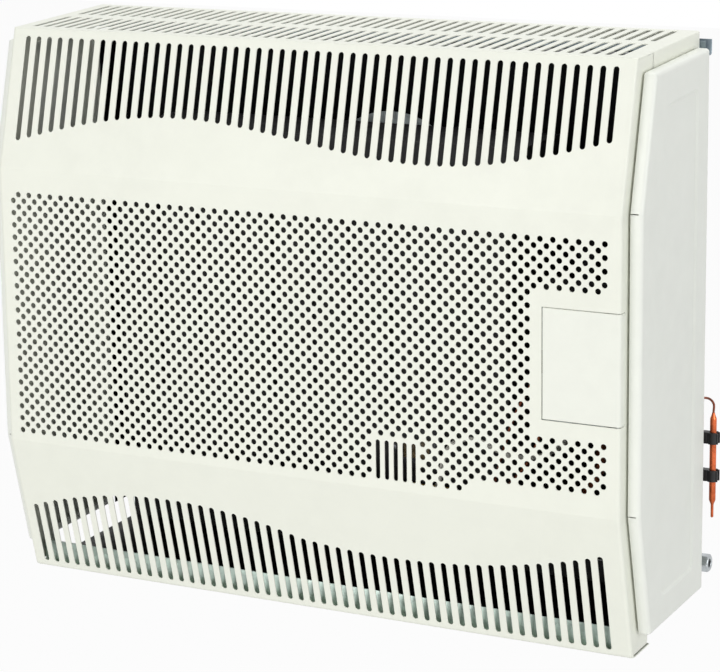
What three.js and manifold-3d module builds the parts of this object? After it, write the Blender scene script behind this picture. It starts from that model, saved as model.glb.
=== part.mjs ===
// Wall mounted balanced-flue gas heater, in millimetres.
// +Z is up, +X is right as seen from the room, +Y points into the wall.
// The origin is the centre of the wall face: the wall plane is Y = 0, and Z = 0 is half the casing height.
import * as THREE from 'three';
import { mergeGeometries, mergeVertices } from 'three/addons/utils/BufferGeometryUtils.js';
import Module from 'manifold-3d';

const wasm = await Module();
wasm.setup();

// ---------------------------------------------------------------- driving dimensions

const CLEAR = 0.3; // gap between pieces that touch
const RUNNING = 0.08; // radial clearance of a shaft in its hole

const sheet = 1.2; // casing, covers and frame sheet metal

const casing = {
  width: 690,
  height: 586,
  wallToFront: 230, // wall plane to the flat middle of the front
  upperRise: 142, // height of the upper sloping front
  upperLean: 38, // how far its top leans back
  lowerDrop: 151.5,
  lowerLean: 38.5,
  topDepth: 173,
  topRise: 6, // the top panel climbs to its rear edge
  sideReturn: 40, // how far the sheet turns back at its ends
  bottomReturn: 42,
  cheek: 20, // how far the top's ends turn down
  topRearFlange: 12,
};

const pitch = 13; // slots and perforations share this pitch

const slots = {
  count: 51,
  width: 5.2,
  topShift: -2.5, // how far the rows lie from the middle of the casing
  lowerShift: -4,
  topMargin: 7.8, // below the top edge, on the upper sloping front
  bottomMargin: 6.8, // above the bottom edge, on the lower sloping front
  topRows: [[12.5, 82], [98.5, 164]], // from the front edge of the top panel
};

// Inner ends of the sloping slots, measured upright from the nearest bend: a wave above, two arcs below.
const upperWave = { mean: 46.7, slant: 0.0592, swing: 23, crest: -165.4, length: 661.5 };
const lowerArcs = {
  meet: -5,
  left: { x: -158.6, depth: 47, bend: 0.000994 },
  right: { x: 96, depth: 76.9, bend: -0.000686 },
};

const holes = {
  size: 4.9, // side of a square of the area of the 5.5 mm round perforation
  columns: 102,
  rows: 40,
  belowBend: 27, // first row under the upper bend
  every: 3, // only every third hole of every third row is cut here, in the same stagger
  doorRows: [8, 29], // rows interrupted by the control door
  doorColumn: 90,
  badgeRows: 38, // the last rows stop short of the bare badge place
  badgeColumn: 80,
};

const peep = { width: 4.7, top: 33.1, bottom: 39.3, columns: [64.5, 66, 67.5, 69, 70.5] };

const cover = {
  gap: 2.2, // dark gap between casing and side cover
  thickness: 13,
  setBack: 15, // its front lies behind the casing's
  topBelow: 14.5, // below the casing's top
  bottomAbove: 26.5,
  depth: 198, // behind the flat middle of the front
  rimDepth: 9,
  panelSunk: 2.2, // the pressed panel lies behind the outer face
  panelMargin: { front: 34, rear: 31, top: 36, bottom: 29.5, slope: 5 },
  tubeNotch: 14, // for the thermostat's thin tube
};

const door = {
  left: 265,
  bottom: -51.5,
  height: 110.5,
  gap: 0.8,
  returnDepth: 8,
  windowDepth: 17.6, // how far its opening runs back in the casing's return
  hingeInset: 3.5, // hinge axis from the door's right and front faces
  pinRadius: 1.25,
  pinLength: 6,
  earThickness: 1.5,
  earLength: 14,
};

const doorCatch = { width: 8, depth: 12, height: 20 };

const frame = { halfWidth: 339.2, bottom: -266, top: 271, flange: 38 };

const bracket = { halfLength: 356, height: 15.4, lip: 16.7, thickness: 2 };

const tray = { front: -185, upstand: 26, halfWidth: 336 };

const chamber = {
  left: -232,
  right: 208,
  bottom: -140,
  top: 192,
  front: -177,
  back: -46,
  wall: 2,
  topTaper: 34,
  ribCount: 9,
  ribWidth: 12,
  ribProud: 7,
};

const burnerBox = { left: -214, right: 190, height: 66, front: -165, back: -58 };
const burner = { radius: 15, y: -112, belowChamber: 34, portCount: 10, portWidth: 3, portLength: 16 };

const flue = { x: 0, z: 108, radius: 50, wall: 1.5, proud: 30, flange: 12 };
const air = { radius: 75, wall: 1.5, proud: 22, flange: 14 };
const seal = { thickness: 3, width: 8 };

const sight = { x: 110.5, z: -111, width: 46, height: 36, glass: 4, frame: 8, frameThickness: 2.5 };

const panel = {
  left: 242,
  right: 336,
  bottom: -78,
  top: 76,
  y: -175,
  thickness: 1.5,
  legDepth: 139,
  legHeight: 40,
  footDepth: 10,
};

const valve = {
  x: 302,
  z: 16,
  width: 62,
  height: 72,
  depth: 48,
  y: -113, // its rear face
  boss: { radius: 20, length: 6 },
  mainPort: { radius: 11, length: 10, offset: 16 },
  sidePort: { radius: 6, length: 8, above: 12, pilotDepth: 14, magnetDepth: 34 },
};
const valveMount = { halfWidth: 16, below: 30, above: 26, rise: 60, thickness: 2 };
const chamberMount = { foot: 24, behindFront: 50, aboveBottom: 40, belowTop: 60 };
const shelf = { halfWidth: 60, setBack: 12, upstand: 30 };
const spindle = { radius: 4, proud: 22, collarRadius: 7, collar: 4 };
const knob = { radius: 22, depth: 26, skirtRadius: 25, skirt: 4, gripCount: 12, gripDepth: 1.6, travel: 5 };
const piezo = { x: 302, z: -40, radius: 9, length: 34, buttonRadius: 6, buttonProud: 11, travel: 6, wall: 1.5 };

const gasPipe = { radius: 6 };
const thinPipe = { radius: 2.2, leadRadius: 1.6 };
const lead = { radius: 2.4 };

const inlet = {
  x: 322,
  y: -14,
  aboveCover: 18.5, // its axis, above the side cover's lower end
  bodyRadius: 7,
  armRadius: 6.4,
  bore: 4.5,
  riser: 22,
  reach: 7,
  nutRadius: 9.5,
  nutLength: 15,
};
const bulb = { x: 363, y: -14, radius: 3.4, top: -93, bottom: -180, neck: 1.5, tail: 18.5 };
const clip = { radius: 6.4, height: 12, places: [-114.5, -154], foot: 9 };
const capillary = { radius: 1.2 };
const screw = { radius: 1.9, headRadius: 3.6, head: 2.4, length: 9.5, sillX: 250 };

// ---------------------------------------------------------------- values that follow

const halfWidth = casing.width / 2;
const top = casing.height / 2;
const bottom = -top;
const front = -casing.wallToFront;
const upperBend = top - casing.upperRise;
const lowerBend = bottom + casing.lowerDrop;
const topFront = front + casing.upperLean;
const topBack = topFront + casing.topDepth;
const topRear = top + casing.topRise;
const profile = [
  [topFront, top],
  [front, upperBend],
  [front, lowerBend],
  [front + casing.lowerLean, bottom],
];
const columnX = (u) => (u - (holes.columns - 1) / 2) * (pitch / 2);
const rowZ = (v) => upperBend - holes.belowBend - v * (pitch / 2);
const slotX = (k) => (k - (slots.count - 1) / 2) * pitch;

// Screws under the casing's sill, and on the sight glass frame.
const sillScrewX = [-screw.sillX, screw.sillX];
const sillScrewY = tray.front + (front + casing.lowerLean + casing.bottomReturn - tray.front) / 2;
const sightScrewX = [-1, 1].map((side) => sight.x + (side * sight.width) / 2);

// ---------------------------------------------------------------- materials

const paint = (color, roughness, metalness) => new THREE.MeshStandardMaterial({ color, roughness, metalness });
const cream = paint(0xeeeadd, 0.42, 0);
const galvanised = paint(0xaab2b4, 0.45, 0.8);
const blackEnamel = paint(0x1b1b1c, 0.6, 0.1);
const steel = paint(0x8d9092, 0.4, 0.9);
const aluminium = paint(0xb5b9bb, 0.38, 0.9);
const brass = paint(0xb08d48, 0.35, 0.9);
const copper = paint(0xb06a42, 0.35, 0.9);
const blackPlastic = paint(0x161617, 0.5, 0);
const whiteSilicone = paint(0xe8e6de, 0.6, 0);
const ceramic = paint(0xf1ede4, 0.35, 0);
const glass = paint(0xd8c9a0, 0.1, 0);
const redPlastic = paint(0xa5231c, 0.4, 0);
const sealant = paint(0x3c3c3a, 0.9, 0);

// ---------------------------------------------------------------- shape helpers

// A closed three.js geometry as a solid that can be joined and cut.
function solid(geometry) {
  const bare = geometry.index ? geometry.toNonIndexed() : geometry.clone();
  bare.deleteAttribute('normal');
  bare.deleteAttribute('uv');
  const merged = mergeVertices(bare, 1e-3);
  return new wasm.Manifold(new wasm.Mesh({
    numProp: 3,
    vertProperties: new Float32Array(merged.attributes.position.array),
    triVerts: new Uint32Array(merged.index.array),
  }));
}

function geometryOf(body) {
  const mesh = body.getMesh();
  const geometry = new THREE.BufferGeometry();
  geometry.setAttribute('position', new THREE.BufferAttribute(new Float32Array(mesh.vertProperties), 3));
  geometry.setIndex(new THREE.BufferAttribute(new Uint32Array(mesh.triVerts), 1));
  geometry.computeVertexNormals();
  return geometry;
}

const joined = (first, ...others) => others.reduce((sum, other) => sum.add(other), first);
const without = (first, ...others) => others.reduce((rest, other) => rest.subtract(other), first);

function blockGeometry([x0, x1], [y0, y1], [z0, z1]) {
  const geometry = new THREE.BoxGeometry(x1 - x0, y1 - y0, z1 - z0);
  return geometry.translate((x0 + x1) / 2, (y0 + y1) / 2, (z0 + z1) / 2);
}
const block = (x, y, z) => solid(blockGeometry(x, y, z));

// Outline points as [first axis, second axis], extruded along the third.
function outlineShape(points) {
  const shape = new THREE.Shape();
  shape.setFromPoints(points.map(([a, b]) => new THREE.Vector2(a, b)));
  return shape;
}
function extruded(points, length) {
  return new THREE.ExtrudeGeometry(outlineShape(points), { depth: length, bevelEnabled: false });
}
function prismX(pointsYZ, x0, x1) {
  const turn = new THREE.Matrix4().makeBasis(
    new THREE.Vector3(0, 1, 0), new THREE.Vector3(0, 0, 1), new THREE.Vector3(1, 0, 0));
  return solid(extruded(pointsYZ, x1 - x0).applyMatrix4(turn).translate(x0, 0, 0));
}
function prismY(pointsXZ, y0, y1) {
  const turn = new THREE.Matrix4().makeBasis(
    new THREE.Vector3(1, 0, 0), new THREE.Vector3(0, 0, 1), new THREE.Vector3(0, -1, 0));
  return solid(extruded(pointsXZ, y1 - y0).applyMatrix4(turn).translate(0, y1, 0));
}

// A round bar along 'x', 'y' or 'z', centred on the other two coordinates.
function rod(axis, radius, from, to, [a, b], sides = 20) {
  const geometry = new THREE.CylinderGeometry(radius, radius, to - from, sides);
  const middle = (from + to) / 2;
  if (axis === 'x') return solid(geometry.rotateZ(-Math.PI / 2).translate(middle, a, b));
  if (axis === 'y') return solid(geometry.translate(a, middle, b));
  return solid(geometry.rotateX(Math.PI / 2).translate(a, b, middle));
}

// An open line of points moved sideways, to its left by a positive distance, with mitred corners.
function offsetLine(points, distance) {
  const normals = points.slice(1).map(([y, z], i) => {
    const along = new THREE.Vector2(y - points[i][0], z - points[i][1]).normalize();
    return new THREE.Vector2(-along.y, along.x);
  });
  return points.map(([y, z], i) => {
    const before = normals[Math.max(i - 1, 0)];
    const after = normals[Math.min(i, normals.length - 1)];
    const mitre = before.clone().add(after).normalize();
    const reach = distance / mitre.dot(after);
    return [y + mitre.x * reach, z + mitre.y * reach];
  });
}

function tubeAlong(points, radius, sides = 8, steps = 24) {
  const curve = new THREE.CatmullRomCurve3(points.map((p) => new THREE.Vector3(...p)), false, 'catmullrom', 0.5);
  const ring = new THREE.Shape();
  ring.setFromPoints(Array.from({ length: sides }, (_, i) => {
    const angle = (i / sides) * 2 * Math.PI;
    return new THREE.Vector2(radius * Math.cos(angle), radius * Math.sin(angle));
  }));
  return new THREE.ExtrudeGeometry(ring, { extrudePath: curve, steps, bevelEnabled: false });
}

// A hole for a screw along 'y' or 'z', through sheets near the given place.
function screwHole(axis, a, b, middle) {
  return rod(axis, screw.radius + CLEAR, middle - screw.length, middle + screw.length, [a, b], 8);
}

const heater = new THREE.Group();

// Adds a piece to a group. Its geometry is in heater coordinates; the mesh sits at the given point.
function add(name, shape, material, at = [0, 0, 0], group = heater) {
  const geometry = shape.isBufferGeometry ? shape : geometryOf(shape);
  geometry.translate(-at[0], -at[1], -at[2]);
  const mesh = new THREE.Mesh(geometry, material);
  mesh.name = name;
  mesh.position.set(...at);
  group.add(mesh);
  return mesh;
}

// ---------------------------------------------------------------- casing

// Where an upright distance from a bend lies on a sloping front, and the tilt of that front.
const slope = {
  upper: {
    rise: casing.upperRise,
    lean: casing.upperLean,
    point: (z) => front + ((z - upperBend) / casing.upperRise) * casing.upperLean,
    tilt: -Math.atan2(casing.upperLean, casing.upperRise),
  },
  lower: {
    rise: casing.lowerDrop,
    lean: casing.lowerLean,
    point: (z) => front + ((lowerBend - z) / casing.lowerDrop) * casing.lowerLean,
    tilt: Math.atan2(casing.lowerLean, casing.lowerDrop),
  },
};

function waveHeight(x) {
  const { mean, slant, swing, crest, length } = upperWave;
  return mean + slant * x + swing * Math.cos((2 * Math.PI * (x - crest)) / length);
}
function arcDepth(x) {
  const arc = x < lowerArcs.meet ? lowerArcs.left : lowerArcs.right;
  return arc.depth + arc.bend * (x - arc.x) ** 2;
}

// One slot cutter lying on a sloping front, from height z0 to height z1.
function slopeSlot(face, x, z0, z1) {
  const stretch = Math.hypot(face.rise, face.lean) / face.rise;
  const cutDepth = 8 * sheet;
  const middle = (z0 + z1) / 2;
  const geometry = new THREE.BoxGeometry(slots.width, cutDepth, (z1 - z0) * stretch);
  return geometry.rotateX(face.tilt).translate(x, face.point(middle), middle);
}

function slopeSlots() {
  const cutters = [];
  for (let k = 0; k < slots.count; k += 1) {
    const x = slotX(k);
    const lowerX = x + slots.lowerShift;
    cutters.push(slopeSlot(slope.upper, x, upperBend + waveHeight(x), top - slots.topMargin));
    cutters.push(slopeSlot(slope.lower, lowerX, bottom + slots.bottomMargin, lowerBend - arcDepth(lowerX)));
  }
  return cutters;
}

function hasHole(u, v) {
  const besideDoor = v >= holes.doorRows[0] && v <= holes.doorRows[1] && u >= holes.doorColumn;
  const inPeep = v >= Math.floor(peep.top) && u >= Math.floor(peep.columns[0]) && u <= Math.ceil(peep.columns.at(-1));
  const inBadge = v >= holes.badgeRows && u >= holes.badgeColumn;
  return (u + v) % 2 === 1 && !besideDoor && !inPeep && !inBadge;
}

function perforations() {
  const cutters = [];
  const half = holes.size / 2;
  for (let v = 0; v < holes.rows; v += holes.every) {
    for (let u = 1 + (v % (2 * holes.every)); u < holes.columns; u += 2 * holes.every) {
      if (!hasHole(u, v)) continue;
      const x = columnX(u);
      const z = rowZ(v);
      cutters.push(blockGeometry([x - half, x + half], [front - sheet, front + 3 * sheet], [z - half, z + half]));
    }
  }
  return cutters;
}

function peepSlots() {
  return peep.columns.map((u) => blockGeometry(
    [columnX(u) - peep.width / 2, columnX(u) + peep.width / 2],
    [front - sheet, front + 3 * sheet],
    [rowZ(peep.bottom), rowZ(peep.top)]));
}

const doorTop = door.bottom + door.height;
const doorWindow = block(
  [door.left, halfWidth + sheet], [front - sheet, front + door.windowDepth], [door.bottom, doorTop]);

const innerProfile = offsetLine(profile, sheet);
const returnProfile = profile.map(([y, z]) => [y + casing.sideReturn, z]);

// The top panel starts behind the front skin, and the front's ends are cut away for it.
const topPanelFront = topFront + sheet / Math.cos(slope.upper.tilt) + CLEAR;
const roofSpace = block(
  [-halfWidth, halfWidth], [topPanelFront - CLEAR, topBack], [top - sheet - CLEAR, topRear + sheet]);

function casingFront() {
  const skin = prismX([...profile, ...innerProfile.toReversed()], -halfWidth, halfWidth);
  const returns = [-1, 1].map((side) => {
    const [x0, x1] = [side * halfWidth, side * (halfWidth - sheet)].sort((a, b) => a - b);
    return prismX([...profile, ...returnProfile.toReversed()], x0, x1);
  });
  const bottomEdge = front + casing.lowerLean;
  const sill = block(
    [-halfWidth, halfWidth], [bottomEdge, bottomEdge + casing.bottomReturn], [bottom, bottom + sheet]);
  const openings = solid(mergeGeometries([...slopeSlots(), ...perforations(), ...peepSlots()]));
  const flat = block([-halfWidth, halfWidth], [front, topBack], [bottom, top]);
  const screwHoles = sillScrewX.map((x) => screwHole('z', x, sillScrewY, bottom));
  return without(joined(skin, ...returns, sill).intersect(flat), openings, doorWindow, roofSpace, ...screwHoles);
}

function casingTop() {
  const heightAt = (y) => top + ((y - topFront) / casing.topDepth) * casing.topRise;
  const strip = (y0, y1, depth) => [
    [y0, heightAt(y0) - depth], [y1, heightAt(y1) - depth], [y1, heightAt(y1)], [y0, heightAt(y0)]];
  const roof = prismX(strip(topPanelFront, topBack, sheet), -halfWidth, halfWidth);
  const cheekStart = topFront + casing.sideReturn + CLEAR;
  const cheeks = [-1, 1].map((side) => {
    const [x0, x1] = [side * halfWidth, side * (halfWidth - sheet)].sort((a, b) => a - b);
    return prismX(strip(cheekStart, topBack, casing.cheek), x0, x1);
  });
  const rear = prismX(strip(topBack - sheet, topBack, casing.topRearFlange), -halfWidth, halfWidth);
  const cutters = [];
  for (const [y0, y1] of slots.topRows) {
    for (let k = 0; k < slots.count; k += 1) {
      const x = slotX(k) + slots.topShift;
      cutters.push(blockGeometry(
        [x - slots.width / 2, x + slots.width / 2],
        [topFront + y0, topFront + y1],
        [top - 2 * sheet, topRear + sheet]));
    }
  }
  return without(joined(roof, ...cheeks, rear), solid(mergeGeometries(cutters)));
}

add('casing_front', casingFront(), cream);
add('casing_top', casingTop(), cream);

// ---------------------------------------------------------------- side covers

const coverTop = top - cover.topBelow;
const coverBottom = bottom + cover.bottomAbove;
const coverBack = front + cover.depth;
const coverInner = halfWidth + cover.gap;
const coverOuter = coverInner + cover.thickness;
const inletZ = coverBottom + inlet.aboveCover;

// The cover's side outline follows the front of the casing, set back from it, drawn in by a margin on each side.
function coverOutline({ front: inFront, rear, top: under, bottom: above }) {
  const upper = coverTop - under;
  const lower = coverBottom + above;
  const line = offsetLine(profile, inFront).map(([y, z]) => [y + cover.setBack, z]);
  const at = (z, [y0, z0], [y1, z1]) => y0 + ((z - z0) / (z1 - z0)) * (y1 - y0);
  const climb = (y) => ((y - topFront) / casing.topDepth) * casing.topRise;
  return [
    [at(upper, line[0], line[1]), upper],
    line[1],
    line[2],
    [at(lower, line[2], line[3]), lower],
    [coverBack - rear, lower],
    [coverBack - rear, upper + climb(coverBack - rear)],
  ];
}

const evenMargin = (m) => ({ front: m, rear: m, top: m, bottom: m });

// A tapering tray between two outlines of as many points, from x0 to x1.
function taper(outlineA, outlineB, x0, x1) {
  const corners = [
    ...outlineA.map(([y, z]) => [x0, y, z]),
    ...outlineB.map(([y, z]) => [x1, y, z]),
  ];
  const count = outlineA.length;
  const faces = [];
  for (let i = 0; i < count; i += 1) {
    const next = (i + 1) % count;
    faces.push(i, next, count + next, i, count + next, count + i);
  }
  for (const [a, b, c] of THREE.ShapeUtils.triangulateShape(outlineA.map((p) => new THREE.Vector2(...p)), [])) {
    faces.push(c, b, a, count + a, count + b, count + c);
  }
  const geometry = new THREE.BufferGeometry();
  geometry.setAttribute('position', new THREE.Float32BufferAttribute(corners.flat(), 3));
  geometry.setIndex(faces);
  return solid(geometry);
}

function sideCover(side) {
  const rim = coverOutline(evenMargin(0));
  const { slope: skirt, ...margin } = cover.panelMargin;
  const inset = (extra) => coverOutline(Object.fromEntries(Object.entries(margin).map(([k, m]) => [k, m + extra])));
  const panelFace = coverOuter - cover.panelSunk;
  const shell = without(
    prismX(rim, coverInner, coverOuter),
    prismX(coverOutline(evenMargin(sheet)), coverInner + sheet, coverOuter - sheet),
    prismX(coverOutline(evenMargin(cover.rimDepth)), coverInner - sheet, coverOuter - sheet));
  const backing = taper(inset(skirt - sheet), inset(-sheet), panelFace - sheet, coverOuter - sheet / 2);
  const past = sheet / 2; // the cutter goes on at the same slope, past the outer face
  const hollow = taper(inset(skirt), inset((-past * skirt) / cover.panelSunk), panelFace, coverOuter + past);
  const seat = block([frame.halfWidth + CLEAR, coverOuter - sheet], [coverBack - sheet, coverBack],
    [coverBottom + cover.rimDepth, frame.top - cover.rimDepth]);
  const halfNotch = cover.tubeNotch / 2;
  const notch = block([frame.halfWidth, coverOuter - 2 * sheet],
    [coverBack - cover.rimDepth - sheet, coverBack + sheet],
    [capillaryExit - halfNotch, capillaryExit + halfNotch]);
  const body = joined(without(joined(shell, backing), hollow), seat);
  return side > 0 ? without(body, notch) : body.mirror([1, 0, 0]);
}

// Height at which the thermostat's thin tube leaves the cover.
const capillaryExit = bulb.top + 25;

add('side_cover_left', sideCover(-1), cream);
add('side_cover_right', sideCover(1), cream);

// ---------------------------------------------------------------- control door

const doorLeft = door.left + door.gap;
const doorRight = halfWidth;
const doorLow = door.bottom + door.gap;
const doorHigh = doorTop - door.gap;
const hinge = [doorRight - door.hingeInset, front + door.hingeInset];

function controlDoor() {
  const depth = front + door.returnDepth;
  const shell = without(
    block([doorLeft, doorRight], [front, depth], [doorLow, doorHigh]),
    block([doorLeft + sheet, doorRight - sheet], [front + sheet, depth + sheet], [doorLow + sheet, doorHigh - sheet]));
  return without(shell, rod('z', door.pinRadius + RUNNING, doorLow - sheet, doorHigh + sheet, hinge, 12));
}
add('control_door', controlDoor(), cream, [...hinge, (doorLow + doorHigh) / 2]);

// A hinge ear behind the casing front, with its pin in the door's return.
function hingeEar(upper) {
  const sign = upper ? 1 : -1;
  const edge = upper ? doorTop : door.bottom;
  const earFace = edge + sign * CLEAR;
  const farFace = earFace + sign * door.earThickness;
  const plate = [front + sheet + CLEAR, front + sheet + CLEAR + door.earLength];
  const span = (a, b) => [Math.min(a, b), Math.max(a, b)];
  const ear = block([hinge[0] - door.earLength, halfWidth - sheet - CLEAR], plate, span(earFace, farFace));
  const tab = block([hinge[0] - door.earLength, halfWidth - sheet - CLEAR],
    [plate[0], plate[0] + door.earThickness], span(earFace, earFace + sign * door.earLength));
  const pin = rod('z', door.pinRadius, ...span(earFace + sign * (door.earThickness / 2), earFace - sign * door.pinLength),
    hinge, 12);
  return joined(ear, tab, pin);
}
const catchMiddle = (doorLow + doorHigh) / 2;
add('door_catch', block(
  [doorLeft - CLEAR - doorCatch.width, doorLeft - CLEAR],
  [front + sheet + CLEAR, front + sheet + CLEAR + doorCatch.depth],
  [catchMiddle - doorCatch.height / 2, catchMiddle + doorCatch.height / 2]), blackPlastic);
add('door_hinge_upper', hingeEar(true), steel);
add('door_hinge_lower', hingeEar(false), steel);

// ---------------------------------------------------------------- frame, wall bracket and base tray

function backFrame() {
  const plate = block([-frame.halfWidth, frame.halfWidth], [-sheet, 0], [frame.bottom, frame.top]);
  const cheeks = [-1, 1].map((side) => {
    const [x0, x1] = [side * frame.halfWidth, side * (frame.halfWidth - sheet)].sort((a, b) => a - b);
    return block([x0, x1], [-frame.flange, 0], [frame.bottom, frame.top]);
  });
  const lintel = block([-frame.halfWidth, frame.halfWidth], [-frame.flange / 2, 0], [frame.top - sheet, frame.top]);
  const airHole = rod('y', air.radius + CLEAR, -2 * sheet, sheet, [flue.x, flue.z], 24);
  const inletHole = rod('x', inlet.armRadius + CLEAR, frame.halfWidth - 2 * sheet, frame.halfWidth + sheet,
    [inlet.y, inletZ], 16);
  return without(joined(plate, ...cheeks, lintel), airHole, inletHole);
}
add('back_frame', backFrame(), galvanised);

function wallBracket() {
  const low = frame.top + CLEAR;
  const span = [-bracket.halfLength, bracket.halfLength];
  const web = block(span, [-bracket.thickness, 0], [low, low + bracket.height]);
  const shelf = block(span, [-bracket.lip, 0], [low, low + bracket.thickness]);
  const lip = block(span, [-bracket.lip - bracket.thickness, -bracket.lip], [low, low + bracket.height]);
  return joined(web, shelf, lip);
}
add('wall_bracket', wallBracket(), galvanised);

function baseTray() {
  const floor = bottom + sheet + CLEAR;
  const span = [-tray.halfWidth, tray.halfWidth];
  const body = joined(
    block(span, [tray.front, 0], [floor, floor + sheet]),
    block(span, [tray.front, tray.front + sheet], [floor, floor + tray.upstand]),
    block(span, [-sheet, 0], [floor, frame.bottom - CLEAR]));
  return without(body, ...sillScrewX.map((x) => screwHole('z', x, sillScrewY, floor)));
}
add('base_tray', baseTray(), galvanised);

// ---------------------------------------------------------------- flue and air ducts

function ring(radius, wall, y0, y1, sides = 24) {
  return without(
    rod('y', radius, y0, y1, [flue.x, flue.z], sides),
    rod('y', radius - wall, y0 - 1, y1 + 1, [flue.x, flue.z], sides));
}

const airFlangeFace = -sheet - CLEAR;
add('air_duct', joined(
  ring(air.radius, air.wall, airFlangeFace - sheet, air.proud),
  ring(air.radius + air.flange, air.flange + air.wall, airFlangeFace - sheet, airFlangeFace)), galvanised);

const sealBack = chamber.back + CLEAR + seal.thickness;
add('flue_seal', ring(flue.radius + seal.width, seal.width, chamber.back + CLEAR, sealBack), sealant);
add('flue_duct', joined(
  ring(flue.radius, flue.wall, sealBack + CLEAR, flue.proud),
  ring(flue.radius + flue.flange, flue.flange + flue.wall, sealBack + CLEAR, sealBack + CLEAR + sheet)), aluminium);

// ---------------------------------------------------------------- combustion chamber and burner

function chamberOutline(inset) {
  const frontY = chamber.front + inset;
  const backY = chamber.back - inset;
  const low = chamber.bottom + inset;
  const high = chamber.top - inset;
  return [[frontY, low], [backY, low], [backY, high], [frontY + chamber.topTaper, high],
    [frontY, high - chamber.topTaper]];
}

function combustionChamber() {
  const shell = without(
    prismX(chamberOutline(0), chamber.left, chamber.right),
    prismX(chamberOutline(chamber.wall), chamber.left + chamber.wall, chamber.right - chamber.wall));
  const width = chamber.right - chamber.left;
  const ribs = Array.from({ length: chamber.ribCount }, (_, i) => {
    const x = chamber.left + ((i + 1) * width) / (chamber.ribCount + 1);
    const low = sight.z + sight.height;
    return block([x - chamber.ribWidth / 2, x + chamber.ribWidth / 2],
      [chamber.front - chamber.ribProud, chamber.front + chamber.wall / 2],
      [low, chamber.top - chamber.topTaper - chamber.ribProud]);
  });
  const flueHole = rod('y', flue.radius, chamber.back - 2 * chamber.wall, chamber.back + 1, [flue.x, flue.z], 24);
  const mouth = block(
    [burnerBox.left + sheet, burnerBox.right - sheet],
    [burnerBox.front + sheet, burnerBox.back - sheet],
    [chamber.bottom - 1, chamber.bottom + 2 * chamber.wall]);
  const peepHole = block(
    [sight.x - sight.width / 2 + sight.frame, sight.x + sight.width / 2 - sight.frame],
    [chamber.front - 1, chamber.front + 2 * chamber.wall],
    [sight.z - sight.height / 2 + sight.frame, sight.z + sight.height / 2 - sight.frame]);
  const screwHoles = sightScrewX.map((x) => screwHole('y', x, sight.z, chamber.front));
  return without(joined(shell, ...ribs), flueHole, mouth, peepHole, ...screwHoles);
}
add('combustion_chamber', combustionChamber(), blackEnamel);

const boxTop = chamber.bottom - CLEAR;
const boxBottom = boxTop - burnerBox.height;
const burnerZ = chamber.bottom - burner.belowChamber;

function burnerHousing() {
  const outer = block([burnerBox.left, burnerBox.right], [burnerBox.front, burnerBox.back], [boxBottom, boxTop]);
  const inner = block(
    [burnerBox.left + sheet, burnerBox.right - sheet],
    [burnerBox.front + sheet, burnerBox.back - sheet],
    [boxBottom + sheet, boxTop + sheet]);
  const entry = rod('x', burner.radius + CLEAR, burnerBox.right - 3 * sheet, burnerBox.right + sheet,
    [burner.y, burnerZ]);
  const airEntry = rod('y', flue.radius / 2, burnerBox.back - 3 * sheet, burnerBox.back + sheet,
    [flue.x, boxBottom + burnerBox.height / 2], 24);
  const pilotHole = block(pilotSpanX, [burnerBox.front - sheet, burnerBox.front + 3 * sheet], pilotSpanZ);
  return without(outer, inner, entry, airEntry, pilotHole);
}

// The pilot assembly's mounting plate closes a window in the front of the burner housing.
const pilot = { x: sight.x, width: 44, height: 30, flange: 6 };
const pilotSpanX = [pilot.x - pilot.width / 2, pilot.x + pilot.width / 2];
const pilotMiddle = boxTop - burnerBox.height / 2;
const pilotSpanZ = [pilotMiddle - pilot.height / 2, pilotMiddle + pilot.height / 2];
add('burner_housing', burnerHousing(), galvanised);

function burnerTube() {
  const x0 = burnerBox.left + sheet + CLEAR;
  const x1 = burnerBox.right + 12;
  const tube = without(
    rod('x', burner.radius, x0, x1, [burner.y, burnerZ]),
    rod('x', burner.radius - sheet, x0 + sheet, x1 + 1, [burner.y, burnerZ]));
  const step = (burnerBox.right - burnerBox.left) / (burner.portCount + 1);
  const ports = Array.from({ length: burner.portCount }, (_, i) => {
    const x = burnerBox.left + (i + 1) * step;
    return blockGeometry(
      [x - burner.portWidth / 2, x + burner.portWidth / 2],
      [burner.y - burner.portLength / 2, burner.y + burner.portLength / 2],
      [burnerZ + burner.radius / 2, burnerZ + burner.radius + 1]);
  });
  return without(tube, solid(mergeGeometries(ports)));
}
add('burner_tube', burnerTube(), steel);

function chamberBracket(side) {
  const wallX = side < 0 ? chamber.left : chamber.right;
  const near = wallX + side * CLEAR;
  const far = near + side * 2 * sheet;
  const [x0, x1] = [near, far].sort((a, b) => a - b);
  const foot = [near, near + side * chamberMount.foot].sort((a, b) => a - b);
  const z = [chamber.bottom + chamberMount.aboveBottom, chamber.top - chamberMount.belowTop];
  return joined(
    block([x0, x1], [chamber.front + chamberMount.behindFront, -sheet - CLEAR], z),
    block(foot, [-3 * sheet - CLEAR, -sheet - CLEAR], z));
}
add('chamber_bracket_left', chamberBracket(-1), galvanised);
add('chamber_bracket_right', chamberBracket(1), galvanised);

// The burner housing hangs on a shelf that reaches forward from the frame.
function housingShelf() {
  const high = boxBottom - CLEAR;
  const x = [-shelf.halfWidth, shelf.halfWidth];
  return joined(
    block(x, [burnerBox.front + shelf.setBack, -sheet - CLEAR], [high - sheet, high]),
    block(x, [-2 * sheet - CLEAR, -sheet - CLEAR], [high - shelf.upstand, high]));
}
add('burner_shelf', housingShelf(), galvanised);

// ---------------------------------------------------------------- sight glass

const glassBack = chamber.front - CLEAR;
const glassFront = glassBack - sight.glass;
const sightSpan = (margin) => [
  [sight.x - sight.width / 2 + margin, sight.x + sight.width / 2 - margin],
  [sight.z - sight.height / 2 + margin, sight.z + sight.height / 2 - margin],
];
add('sight_glass', block(sightSpan(sight.frame / 2)[0], [glassFront, glassBack], sightSpan(sight.frame / 2)[1]), glass);

const sightFace = glassFront - CLEAR - sight.frameThickness;

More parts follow.
